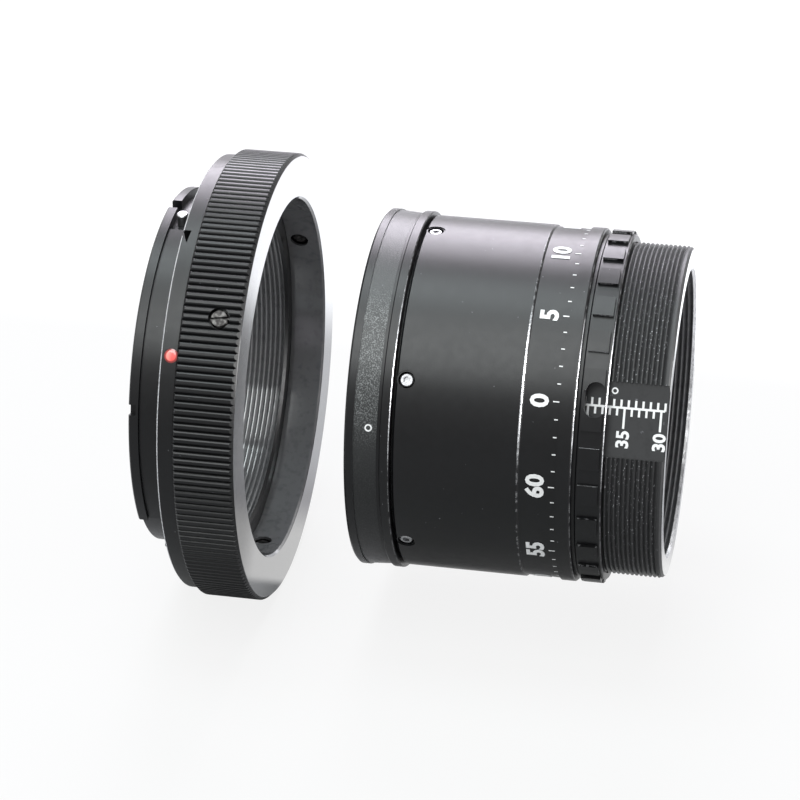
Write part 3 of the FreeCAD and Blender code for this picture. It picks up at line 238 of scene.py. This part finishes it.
class Finish:
    """One material: its shader and the nodes that feed it."""

    def __init__(self, name, colour, **shader_values):
        self.material = bpy.data.materials.new(name)
        self.material.use_nodes = True
        self.tree = self.material.node_tree
        self.shader = self.tree.nodes["Principled BSDF"]
        self.shader.inputs["Base Color"].default_value = (*colour, 1)
        for socket, amount in shader_values.items():
            self.shader.inputs[socket.replace("_", " ")].default_value = amount
        self.place = self.node("ShaderNodeTexCoord", {}, {}, "Object")

    def node(self, kind, settings, inputs, output=0):
        """Adds a node with its settings, then its sockets' values or links."""
        made = self.tree.nodes.new(kind)
        for setting, choice in settings.items():
            setattr(made, setting, choice)
        pairs = enumerate(inputs) if isinstance(inputs, (list, tuple)) else inputs.items()
        for socket, given in pairs:
            if isinstance(given, Number):
                self.tree.links.new(given.socket, made.inputs[socket])
            else:
                made.inputs[socket].default_value = given
        return Number(self, made.outputs[output])

    def feed(self, socket, number):
        """Links a result to one of the shader's sockets."""
        self.tree.links.new(number.socket, self.shader.inputs[socket])

    def coordinates(self):
        """The station along the axis and the radius, both in millimetres."""
        parts = self.node("ShaderNodeSeparateXYZ", {}, {0: self.place}, 0)
        splitter = parts.socket.node
        across, up = Number(self, splitter.outputs[1]), Number(self, splitter.outputs[2])
        self.across, self.up = across * (1 / MM), up * (1 / MM)
        return parts * (1 / MM), (across * across + up * up) ** 0.5 * (1 / MM)

    def step(self, number, low, high):
        """Rises smoothly from 0 to 1 between two values."""
        return self.node("ShaderNodeMapRange", {"interpolation_type": "SMOOTHSTEP"},
                         {"Value": number, "From Min": low, "From Max": high}, 0)

    def side(self, radius, turn, far, near):
        """1 within a few degrees of a turn round the axis, and 0 further off than another."""
        at = math.radians(turn)
        cosine = (self.up * math.sin(at) - self.across * math.cos(at)) * radius ** -1.0
        return self.step(cosine, math.cos(math.radians(far)), math.cos(math.radians(near)))

    def noise(self, cells_per_mm, detail):
        """Even grain in space."""
        return self.node("ShaderNodeTexNoise", {}, {
            "Vector": self.place, "Scale": cells_per_mm / MM, "Detail": detail,
            "Roughness": 0.5}, "Fac")

    def turning(self, station, radius, lines_per_mm):
        """Fine rings round the axis, as a lathe's tool leaves them."""
        along = self.node("ShaderNodeCombineXYZ", {}, [station, radius, 0.0])
        return self.node("ShaderNodeTexNoise", {"noise_dimensions": "2D"}, {
            "Vector": along, "Scale": lines_per_mm, "Detail": 1.0}, "Fac")

    def specks(self, cells_per_mm, reach):
        """Sparse small specks: 1 on a speck and 0 elsewhere."""
        cells = self.node("ShaderNodeTexVoronoi", {}, {
            "Vector": self.place, "Scale": cells_per_mm / MM}, "Distance")
        return cells < reach

    def bands(self, station, radius, edges):
        """1 where a surface lies in one of the boxes of stations and radii, and 0 elsewhere."""
        total = None
        for low_x, high_x, low_r, high_r in edges:
            inside = abs(station - (low_x + high_x) / 2) < (high_x - low_x) / 2
            inside = inside * (abs(radius - (low_r + high_r) / 2) < (high_r - low_r) / 2)
            total = inside if total is None else total + inside
        return total

    def mix(self, factor, first, second):
        """A colour between two colours."""
        return self.node("ShaderNodeMix", {"data_type": "RGBA"},
                         {0: factor, 6: first, 7: second}, 2)

    def bump(self, height, depth_mm):
        """Raises the surface by a height pattern."""
        bumped = self.node("ShaderNodeBump", {}, {
            "Strength": 1.0, "Distance": depth_mm * MM, "Height": height}, 0)
        self.feed("Normal", bumped)

    def give_to(self, *pieces):
        """Makes this the only material of each piece."""
        for piece in pieces:
            piece.data.materials.clear()
            piece.data.materials.append(self.material)


def turned_black(name, edges=(), worn=None, cone=None, faces=(), inside=(),
                 painted_light_bores=(), glossy=(), specks=(), dust=0.05):
    """Black anodised aluminium off a lathe, with bright edges: partly worn, and mostly a painted
    highlight towards one side.

    Most of the arguments list places of a finish. worn is a direction in degrees round the axis,
    and how far from it the edges' painted highlight ends and how far it is full; random worn
    patches stay a little bright all round.
    """
    settings = bpy.context.scene.tube_set_finish
    black, bright = tuple(settings.black), tuple(settings.bright_edge)
    finish = Finish(name, black, Roughness=SATIN, IOR=1.33)
    station, radius = finish.coordinates()
    patch = finish.noise(*PATCHES)
    grain = finish.noise(*GRAIN)
    rings = finish.turning(station, radius, LATHE_RINGS)
    colour = finish.mix(patch, shade(black, DARKER), shade(black, LIGHTER))
    rough = SATIN - 0.05 + 0.12 * patch
    height = grain * GRAIN_DEPTH + rings * LATHE_DEPTH
    if inside:
        dull = finish.bands(station, radius, inside)
        colour = finish.mix(dull * (0.5 + patch), colour, (*settings.matt_black, 1))
        rough = rough + 0.1 * dull
    # Bores turned a pale grey and smoother: painted light, standing in for the light reflected
    # inside them
    if painted_light_bores:
        pale = finish.bands(station, radius, painted_light_bores)
        colour = finish.mix(pale * (0.5 + patch), colour, (*settings.pale_inside, 1))
        rough = rough - 0.1 * pale
    if specks:
        glints = finish.bands(station, radius, specks) * finish.specks(*GLINTS)
        colour = finish.mix(glints * (grain > 0.52), colour, GLINT)
    # The cone: bare sparks in its coarse grain, mostly a painted glint towards one side, and a
    # faint painted sheen towards another
    if cone:
        lathe = finish.bands(station, radius, [cone])
        coarse = finish.noise(*CONE_GRAIN)
        glint_side = finish.side(radius, 32, 28, 10)
        spark = lathe * finish.step(coarse, 0.52, 0.62) * (0.07 + 0.93 * glint_side)
        dull = lathe * (0.04 + 0.14 * finish.side(radius, 60, 75, 25))
        colour = finish.mix(dull + spark * 0.8, colour, CONE_BARE_AND_SHEEN)
        rough = rough - 0.1 * spark
        height = height + coarse * lathe * CONE_DEPTH
    speck = finish.specks(DUST_CELLS, dust)
    colour = finish.mix(speck * (grain > 0.5), colour, DUST)
    if faces or glossy:
        smooth = finish.bands(station, radius, [*faces, *glossy])
        rough = rough - POLISH * smooth
        if faces:
            smooth = smooth * (1 - 0.85 * finish.side(radius, 5, 50, 20))
        finish.feed("Coat Weight", smooth)
        finish.shader.inputs["Coat Roughness"].default_value = 0.12
        finish.shader.inputs["Coat IOR"].default_value = 1.7
    # Bright chamfers: a painted highlight towards the direction that worn gives, with a little
    # random wear all round
    if edges:
        rubbed_and_highlit = finish.bands(station, radius, edges)
        rubbed_and_highlit = rubbed_and_highlit * (finish.side(radius, *worn) * 0.85 + 0.15 * (patch > 0.5))
        rubbed_and_highlit = rubbed_and_highlit * (0.25 + 1.1 * finish.step(grain, 0.42, 0.56))
        rubbed_and_highlit.socket.node.use_clamp = True
        colour = finish.mix(rubbed_and_highlit, colour, (*bright, 1))
        finish.feed("Metallic", rubbed_and_highlit * 0.6)
        rough = rough - 0.12 * rubbed_and_highlit
    finish.feed("Base Color", colour)
    finish.feed("Roughness", rough)
    finish.bump(height, 1.0)
    return finish


def round_normals(mesh):
    """Points the normals of round walls straight out, so that no seam shows along them."""
    normals = []
    for corner, loop in zip(mesh.corner_normals, mesh.loops):
        place = mesh.vertices[loop.vertex_index].co
        outward = Vector((0, place.y, place.z)).normalized()
        given = corner.vector.copy()
        if abs(given.dot(outward)) > ROUND_WALL:
            given = outward if given.dot(outward) > 0 else -outward
        normals.append(given)
    mesh.normals_split_custom_set(normals)


class TUBESET_OT_black_parts(bpy.types.Operator):
    """Gives the turned black pieces their anodised finish, and bright edges that are partly worn
    and mostly a painted highlight
    """
    bl_idname = "tube_set.black_parts"
    bl_label = "Black parts"

    def execute(self, context):
        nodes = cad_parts
        # worn gives the side round the axis where each piece's edges carry their painted
        # highlight
        tube = turned_black("draw_tube_black", [TUBE_MOUTH_EDGE], worn=(40, 170, 120),
                            faces=[TUBE_FACE], inside=[TUBE_BORE, TUBE_THREAD],
                            painted_light_bores=[TUBE_MOUTH], specks=[TUBE_CRESTS], dust=0.1)
        tube.give_to(nodes["draw_tube"])
        lock = turned_black("lock_ring_black", [LOCK_EDGE, PAD_WALLS], worn=(27, 32, 8))
        lock.give_to(nodes["lock_ring"])
        barrel = turned_black("barrel_black", [BARREL_EDGE, BAND_EDGE], worn=(29, 27, 10))
        barrel.give_to(nodes["barrel"])
        end = turned_black("end_ring_black", [FLANGE_EDGE], worn=(30, 34, 10), cone=CONE)
        end.give_to(nodes["end_ring"])
        plate = turned_black("plate_black", [PLATE_EDGE], worn=(25, 80, 30),
                             painted_light_bores=[PLATE_BORE], glossy=[PLATE_THREAD])
        plate.give_to(nodes["bayonet_plate"])
        housing = turned_black("housing_black", faces=[HOUSING_FACE], glossy=[SOCKET_WALL],
                               painted_light_bores=[HOUSING_BORE])
        housing.give_to(nodes["ring_housing"])
        for name in ("barrel", "end_ring"):
            round_normals(nodes[name].data)
        return {"FINISHED"}


class TUBESET_OT_steel_parts(bpy.types.Operator):
    """Gives the screws their bright or blackened steel"""
    bl_idname = "tube_set.steel_parts"
    bl_label = "Steel screws"

    def execute(self, context):
        settings = context.scene.tube_set_finish
        steel = Finish("bright_steel", tuple(settings.steel), Metallic=1.0)
        patch = steel.noise(*STEEL_PATCHES)
        steel.feed("Roughness", 0.28 + 0.25 * patch)
        steel.bump(steel.noise(*STEEL_GRAIN), 0.03)
        dark = Finish("worn_steel", tuple(settings.steel), Metallic=1.0)
        patch = dark.step(dark.noise(*DARK_PATCHES), 0.4, 0.7)
        dark.feed("Base Color", dark.mix(patch, BLACKENED_STEEL, WORN_STEEL))
        dark.feed("Roughness", 0.35 + 0.15 * patch)
        dark.bump(dark.noise(*DARK_GRAIN), 0.01)
        for name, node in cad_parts.items():
            if name.startswith("clamp_screw"):
                dark.give_to(node)
            elif "screw" in name:
                steel.give_to(node)
        return {"FINISHED"}


class TUBESET_OT_paint(bpy.types.Operator):
    """Gives the scale and the marks their white filled paint"""
    bl_idname = "tube_set.paint"
    bl_label = "White paint"

    def execute(self, context):
        paint = white_paint()
        paint.give_to(*(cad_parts[name] for name in
                        ("scale_marks", "barrel_marks", "end_ring_mark")))
        return {"FINISHED"}


def white_paint():
    """Matt white engraving paint, a little worn."""
    colour = tuple(bpy.context.scene.tube_set_finish.paint)
    paint = Finish("engraving_paint", colour, Roughness=0.55)
    patch = paint.noise(*PAINT_PATCHES)
    paint.feed("Base Color", paint.mix(patch, shade(colour, 0.8), (*colour, 1)))
    paint.bump(paint.noise(*PAINT_GRAIN), 0.004)
    return paint


# Numbers

def deselect():
    """Leaves nothing selected, as the frame's nodes are selected when it is loaded."""
    if bpy.context.object and bpy.context.object.mode != "OBJECT":
        bpy.ops.object.mode_set(mode="OBJECT")
    bpy.ops.object.select_all(action="DESELECT")


def number_mesh(text, height, thickness):
    """A number as a mesh in metres, centred, lying flat with its front towards +Z."""
    deselect()
    bpy.ops.object.text_add(location=(0, 0, 0))
    words = bpy.context.object
    words.data.body = text
    words.data.size = height / DIGIT_SHARE
    words.data.align_x = "CENTER"
    words.data.offset = height * BOLDER
    words.data.extrude = thickness / 2
    words.data.resolution_u = 3
    bpy.ops.object.convert(target="MESH")
    piece = bpy.context.object
    low = Vector([min(vertex.co[axis] for vertex in piece.data.vertices) for axis in range(3)])
    high = Vector([max(vertex.co[axis] for vertex in piece.data.vertices) for axis in range(3)])
    piece.data.transform(Matrix.Translation(-(low + high) / 2))
    piece.data.transform(Matrix.Diagonal((WIDER, 1, 1, 1)))
    return piece


def slice_across(piece, step):
    """Cuts a flat number into narrow strips, so that it can follow a curve."""
    bpy.ops.object.mode_set(mode="EDIT")
    reach = max(abs(vertex.co.x) for vertex in piece.data.vertices)
    count = int(reach / step)
    for place in range(-count, count + 1):
        bpy.ops.mesh.select_all(action="SELECT")
        bpy.ops.mesh.bisect(plane_co=(place * step, 0, 0), plane_no=(1, 0, 0))
    bpy.ops.object.mode_set(mode="OBJECT")


def join(pieces, name):
    """Joins pieces into one object with a name."""
    deselect()
    for piece in pieces:
        piece.select_set(True)
    bpy.context.view_layer.objects.active = pieces[0]
    bpy.ops.object.join()
    joined = bpy.context.object
    joined.name = name
    joined.data.name = name
    return joined


class TUBESET_OT_scale_numbers(bpy.types.Operator):
    """Sets the scale's numbers on the floor of the track"""
    bl_idname = "tube_set.scale_numbers"
    bl_label = "Scale numbers"

    def execute(self, context):
        sizes = context.scene.tube_set_numbers
        made = []
        for reading in READINGS:
            piece = number_mesh(str(reading), sizes.scale_height, sizes.thickness)
            # The digits' tops point to the camera end, and the number reads upwards.
            piece.data.transform(Matrix.Rotation(math.pi / 2, 4, "Z"))
            piece.data.transform(Matrix.Translation((
                -(reading - sizes.scale_start) * MM, sizes.scale_across,
                sizes.track_floor + sizes.thickness / 4)))
            made.append(piece)
        numbers = join(made, "scale_numbers")
        numbers.data.transform(Matrix.Rotation(math.pi / 2 - sizes.track_turn, 4, "X"))
        paint_piece(numbers)
        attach(numbers, "draw_tube")
        return {"FINISHED"}


class TUBESET_OT_band_numbers(bpy.types.Operator):
    """Sets plain numbers round the barrel's band, one at every fifth division"""
    bl_idname = "tube_set.band_numbers"
    bl_label = "Band numbers"

    def execute(self, context):
        sizes = context.scene.tube_set_numbers
        made = []
        for division in range(0, sizes.divisions, NUMBERED):
            piece = number_mesh(str(division), sizes.band_height, sizes.thickness * 2)
            slice_across(piece, SLICE * MM)
            turn = sizes.first_turn + division * 2 * math.pi / sizes.divisions
            for vertex in piece.data.vertices:
                along, height, lift = vertex.co
                at = turn + along / sizes.band_radius
                reach = sizes.band_radius + lift + sizes.thickness / 4
                vertex.co = (sizes.band_station - height, -reach * math.cos(at),
                             reach * math.sin(at))
            made.append(piece)
        numbers = join(made, "band_numbers")
        paint_piece(numbers)
        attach(numbers, "barrel")
        return {"FINISHED"}


def paint_piece(piece):
    """Gives a number the same paint as the scale."""
    piece.data.materials.clear()
    piece.data.materials.append(bpy.data.materials["engraving_paint"])


class TUBESET_OT_index_dot(bpy.types.Operator):
    """Makes the red index dot as a low bead of enamel in its recess"""
    bl_idname = "tube_set.index_dot"
    bl_label = "Index dot"

    def execute(self, context):
        settings = context.scene.tube_set_finish
        low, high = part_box("index_dot")
        middle = (low + high) / 2
        radius = (high.x - low.x) / 2
        turn = math.atan2(middle.z, -middle.y)
        reach = BAND_RADIUS * MM
        deselect()
        bpy.ops.mesh.primitive_cylinder_add(vertices=40, radius=radius, depth=DOT_DEPTH * MM,
                                            location=(0, 0, 0))
        bead = bpy.context.object
        bpy.ops.object.mode_set(mode="EDIT")
        shape = bmesh.from_edit_mesh(bead.data)
        for face in shape.faces:
            face.select = face.normal.z > 0.9
        bmesh.update_edit_mesh(bead.data)
        for inset, rise in DOT_STEPS:
            bpy.ops.mesh.inset(thickness=inset * MM, depth=rise * MM)
        bpy.ops.object.mode_set(mode="OBJECT")
        bpy.ops.object.shade_smooth_by_angle(angle=math.radians(50))
        top = max(vertex.co.z for vertex in bead.data.vertices)
        bead.data.transform(Matrix.Translation((0, 0, reach + DOT_PROUD * MM - top)))
        bead.data.transform(Matrix.Rotation(math.pi / 2 - turn, 4, "X"))
        bead.data.transform(Matrix.Translation((middle.x, 0, 0)))
        bead.name = "red_index_bead"
        red = tuple(settings.dot)
        finish = Finish("red_enamel", red, Roughness=0.28, Coat_Weight=0.6)
        station = finish.coordinates()[0]
        across = finish.node("ShaderNodeVectorMath", {"operation": "DISTANCE"}, {
            0: finish.place, 1: (middle.x, -math.cos(turn) * reach, math.sin(turn) * reach)},
            "Value")
        rim = finish.step(across * (1 / radius), 0.6, 0.85)
        pale = finish.step(station * -1.0, -middle.x / MM - 0.2, -middle.x / MM + 0.5)
        colour = finish.mix(pale, (*red, 1), PALE_RED)
        finish.feed("Base Color", finish.mix(rim, colour, shade(red, 0.3)))
        finish.give_to(bead)
        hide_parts("index_dot")
        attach(bead, "bayonet_ring")
        return {"FINISHED"}


# Stage

def add_lamp(name, width, height, radiance, colour, place, target):
    """A soft area lamp that faces a target; its radiance is that of its face."""
    data = bpy.data.lights.new(name, "AREA")
    data.shape = "RECTANGLE"
    data.size, data.size_y = width, height
    data.energy = radiance * math.pi * width * height
    data.color = colour
    lamp = bpy.data.objects.new(name, data)
    bpy.context.scene.collection.objects.link(lamp)
    place, target = Vector(place), Vector(target)
    lamp.location = place
    lamp.rotation_mode = "QUATERNION"
    lamp.rotation_quaternion = (target - place).to_track_quat("-Z", "Y")
    lamp.visible_camera = False


class TUBESET_OT_stage(bpy.types.Operator):
    """Makes the pale floor, the soft lamps and the camera"""
    bl_idname = "tube_set.stage"
    bl_label = "Stage"

    def execute(self, context):
        settings = context.scene.tube_set_stage
        deselect()
        lowest = cad_box[0].z
        bpy.ops.mesh.primitive_plane_add(size=FLOOR_SIZE, location=(0, 0, 0))
        floor = bpy.context.object
        floor.data.transform(Matrix.Translation((0, 0, lowest - FLOOR_GAP * MM)))
        floor.name = "floor"
        self.finish_floor(floor, settings)
        self.light_world(context, settings)
        self.hang_lamps(settings)
        self.place_camera(context)
        return {"FINISHED"}

    def hang_lamps(self, settings):
        """Soft boxes in an arc over the object, and one low at its telescope end."""
        for name, rise, colour in ARC:
            at = math.radians(rise)
            place = (LAMP_STATION, -LAMP_DISTANCE * math.cos(at), LAMP_DISTANCE * math.sin(at))
            add_lamp(name, LAMP_WIDTH, LAMP_LENGTH, getattr(settings, name), colour, place,
                     LAMP_TARGET)
        add_lamp("side_lamp", LAMP_WIDTH, SIDE_LAMP_HEIGHT, settings.side_lamp, (1, 1, 1),
                 SIDE_LAMP_PLACE, LAMP_TARGET)

    def finish_floor(self, floor, settings):
        """Pale paper, nearly white to the camera, and graded with painted reflections for what
        the metal mirrors.
        """
        paper = Finish("floor_paper", tuple(settings.floor), Roughness=0.9,
                       Specular_IOR_Level=0.1)
        path = paper.node("ShaderNodeLightPath", {}, {}, "Is Camera Ray")
        kinds = path.socket.node.outputs
        seen = path.work_out("MAXIMUM", path, Number(paper, kinds["Is Transmission Ray"]))
        away = paper.coordinates()[1]
        far = paper.step(away, *FAR_FLOOR)
        lift = seen * (settings.floor_lift + (1 - settings.floor_lift) * far)
        # A white strip under the object that only a gloss sees: a painted reflection
        strip = paper.step(paper.across, *STRIP_FRONT) - paper.step(paper.across, *STRIP_BACK)
        mirrored = settings.gloss_lift + strip * STRIP_WHITE
        lift = lift + Number(paper, kinds["Is Glossy Ray"]) * mirrored
        # Paper lighter further back, painted to brighten what the black faces mirror
        behind = paper.step(paper.across, *PAPER_BEHIND)
        paper.feed("Base Color", paper.mix(behind, (*settings.floor, 1),
                                           (*settings.floor_behind, 1)))
        glow = paper.node("ShaderNodeEmission", {}, {"Color": WHITE, "Strength": 1.0})
        mixed = paper.node("ShaderNodeMixShader", {}, {
            0: lift, 1: Number(paper, paper.shader.outputs[0]), 2: glow})
        out = paper.tree.nodes["Material Output"]
        paper.tree.links.new(mixed.socket, out.inputs["Surface"])
        paper.give_to(floor)

    def light_world(self, context, settings):
        """An even pale room, white where the camera or a gloss sees it."""
        world = bpy.data.worlds.new("pale_room")
        context.scene.world = world
        world.use_nodes = True
        tree = world.node_tree
        room = tree.nodes["Background"]
        room.inputs["Color"].default_value = WHITE
        path = tree.nodes.new("ShaderNodeLightPath")
        seen = path.outputs["Is Camera Ray"]
        for kind in ("Is Glossy Ray", "Is Transmission Ray"):
            larger = tree.nodes.new("ShaderNodeMath")
            larger.operation = "MAXIMUM"
            tree.links.new(seen, larger.inputs[0])
            tree.links.new(path.outputs[kind], larger.inputs[1])
            seen = larger.outputs[0]
        level = tree.nodes.new("ShaderNodeMapRange")
        tree.links.new(seen, level.inputs["Value"])
        level.inputs["To Min"].default_value = settings.room_light
        level.inputs["To Max"].default_value = 1.0
        tree.links.new(level.outputs[0], room.inputs["Strength"])

    def place_camera(self, context):
        """The camera that the photograph's perspective gives."""
        turn, rise, roll = (math.radians(angle) for angle in CAMERA_ANGLES)
        right = Vector((math.cos(turn), math.sin(turn), 0))
        back = Vector((math.sin(turn) * math.cos(rise), -math.cos(turn) * math.cos(rise),
                       math.sin(rise)))
        up = back.cross(right)
        level_right, level_up = right, up
        right = level_right * math.cos(roll) + level_up * math.sin(roll)
        up = level_up * math.cos(roll) - level_right * math.sin(roll)
        data = bpy.data.cameras.new("camera")
        data.sensor_width = SENSOR_WIDTH
        data.lens = FOCAL_PIXELS / PICTURE_PIXELS * SENSOR_WIDTH
        data.clip_start, data.clip_end = 0.01, 50
        camera = bpy.data.objects.new("camera", data)
        context.scene.collection.objects.link(camera)
        place = [along * MM for along in CAMERA_PLACE]
        camera.matrix_world = Matrix((
            (right.x, up.x, back.x, place[0]),
            (right.y, up.y, back.y, place[1]),
            (right.z, up.z, back.z, place[2]),
            (0, 0, 0, 1)))
        context.scene.camera = camera
        context.scene.view_settings.view_transform = "Standard"


# Sizes and colours that a user would change

class TubeSetFinish(bpy.types.PropertyGroup):
    """Colours of the finishes."""
    black: FloatVectorProperty(name="Anodised black", description="Colour of the black parts",
                               subtype="COLOR", size=3, min=0, max=1,
                               default=(0.0035, 0.0035, 0.004))
    matt_black: FloatVectorProperty(name="Matt black", description="Colour of the dull insides",
                                    subtype="COLOR", size=3, min=0, max=1,
                                    default=(0.03, 0.03, 0.031))
    # A pale grey for the bores: painted light in place of the light that bounces inside them
    pale_inside: FloatVectorProperty(name="Greyed inside", description="Colour of worn bores",
                                     subtype="COLOR", size=3, min=0, max=1,
                                     default=(0.14, 0.14, 0.145))
    # Colour of the bright chamfers: worn metal, and mostly a painted highlight towards one side
    # round the axis
    bright_edge: FloatVectorProperty(name="Rubbed edge",
                                     description="Colour of chamfers rubbed to the metal",
                                     subtype="COLOR", size=3, min=0, max=1,
                                     default=(0.7, 0.7, 0.72))
    steel: FloatVectorProperty(name="Steel", description="Colour of the bright screws",
                               subtype="COLOR", size=3, min=0, max=1,
                               default=(0.36, 0.36, 0.37))
    paint: FloatVectorProperty(name="Paint", description="Colour of the filled engraving",
                               subtype="COLOR", size=3, min=0, max=1, default=(0.8, 0.8, 0.8))
    dot: FloatVectorProperty(name="Index dot", description="Colour of the red enamel",
                             subtype="COLOR", size=3, min=0, max=1, default=(0.8, 0.06, 0.05))


class TubeSetNumbers(bpy.types.PropertyGroup):
    """Sizes of the numbers."""
    scale_height: FloatProperty(name="Scale digits", description="Height of the scale's digits",
                                unit="LENGTH", default=1.72 * MM, precision=5)
    scale_across: FloatProperty(name="Scale offset", description="Numbers' place on the track",
                                unit="LENGTH", default=-2.62 * MM, precision=5)
    scale_start: FloatProperty(name="First reading", description="Reading at the end face",
                               default=29.0)
    track_floor: FloatProperty(name="Track floor", description="Height of the track's floor",
                               unit="LENGTH", default=23.0 * MM, precision=5)
    track_turn: FloatProperty(name="Track turn", description="Direction of the track",
                              subtype="ANGLE", default=math.radians(21.2))
    band_height: FloatProperty(name="Band digits", description="Height of the band's digits",
                               unit="LENGTH", default=2.5 * MM, precision=5)
    band_radius: FloatProperty(name="Band radius", description="Radius of the marked band",
                               unit="LENGTH", default=25.25 * MM, precision=5)
    band_station: FloatProperty(name="Band station", description="Numbers' place on the axis",
                                unit="LENGTH", default=-17.45 * MM, precision=5)
    first_turn: FloatProperty(name="First division", description="Direction of division nought",
                              subtype="ANGLE", default=math.radians(25.4))
    divisions: IntProperty(name="Divisions", description="Divisions round the band",
                           default=65, min=5)
    thickness: FloatProperty(name="Paint thickness", description="Thickness of the paint",
                             unit="LENGTH", default=0.06 * MM, precision=5)


class TubeSetStage(bpy.types.PropertyGroup):
    """Light and floor."""
    floor: FloatVectorProperty(name="Floor", description="Colour of the floor", subtype="COLOR",
                               size=3, min=0, max=1, default=(0.38, 0.38, 0.38))
    floor_behind: FloatVectorProperty(name="Floor behind", description="Its colour further back",
                                      subtype="COLOR", size=3, min=0, max=1,
                                      default=(0.85, 0.85, 0.85))
    floor_lift: FloatProperty(name="Floor lift", description="White that the camera sees in it",
                              default=0.85, min=0, max=1)
    gloss_lift: FloatProperty(name="Gloss lift", description="White that a gloss sees in it",
                              default=0.04, min=0, max=1)
    room_light: FloatProperty(name="Room light", description="Strength of the even light",
                              default=0.3, min=0)
    front_lamp: FloatProperty(name="Front lamp", description="Brightness of the front lamp",
                              default=9.4, min=0)
    top_lamp: FloatProperty(name="Top lamp", description="Brightness of the top lamp",
                            default=9.2, min=0)
    back_lamp: FloatProperty(name="Back lamp", description="Brightness of the upper back lamp",
                             default=12.5, min=0)
    side_lamp: FloatProperty(name="Side lamp", description="Brightness of the low side lamp",
                             default=20.0, min=0)


STEPS = (TUBESET_OT_stage, TUBESET_OT_black_parts, TUBESET_OT_steel_parts, TUBESET_OT_paint,
         TUBESET_OT_scale_numbers, TUBESET_OT_band_numbers, TUBESET_OT_index_dot)
GROUPS = {"tube_set_finish": TubeSetFinish, "tube_set_numbers": TubeSetNumbers,
          "tube_set_stage": TubeSetStage}


class TUBESET_PT_panel(bpy.types.Panel):
    """Lists the steps and their sizes in the sidebar."""
    bl_idname = "TUBESET_PT_panel"
    bl_label = "Extension tube set"
    bl_space_type = "VIEW_3D"
    bl_region_type = "UI"
    bl_category = "Tube set"

    def draw(self, context):
        layout = self.layout
        for name, group in GROUPS.items():
            for sizing in group.__annotations__:
                layout.prop(getattr(context.scene, name), sizing)
        for step in STEPS:
            layout.operator(step.bl_idname)


def register():
    """Registers the settings, the steps and the panel."""
    for group in GROUPS.values():
        bpy.utils.register_class(group)
    for name, group in GROUPS.items():
        setattr(bpy.types.Scene, name, PointerProperty(type=group))
    for step in STEPS:
        bpy.utils.register_class(step)
    bpy.utils.register_class(TUBESET_PT_panel)


def unregister():
    """Takes all of it away again."""
    bpy.utils.unregister_class(TUBESET_PT_panel)
    for step in reversed(STEPS):
        bpy.utils.unregister_class(step)
    for name in GROUPS:
        delattr(bpy.types.Scene, name)
    for group in GROUPS.values():
        bpy.utils.unregister_class(group)


def main():
    """Runs every step in order."""
    register()
    for step in STEPS:
        area, name = step.bl_idname.split(".")
        getattr(getattr(bpy.ops, area), name)()


if __name__ == "__main__":
    main()
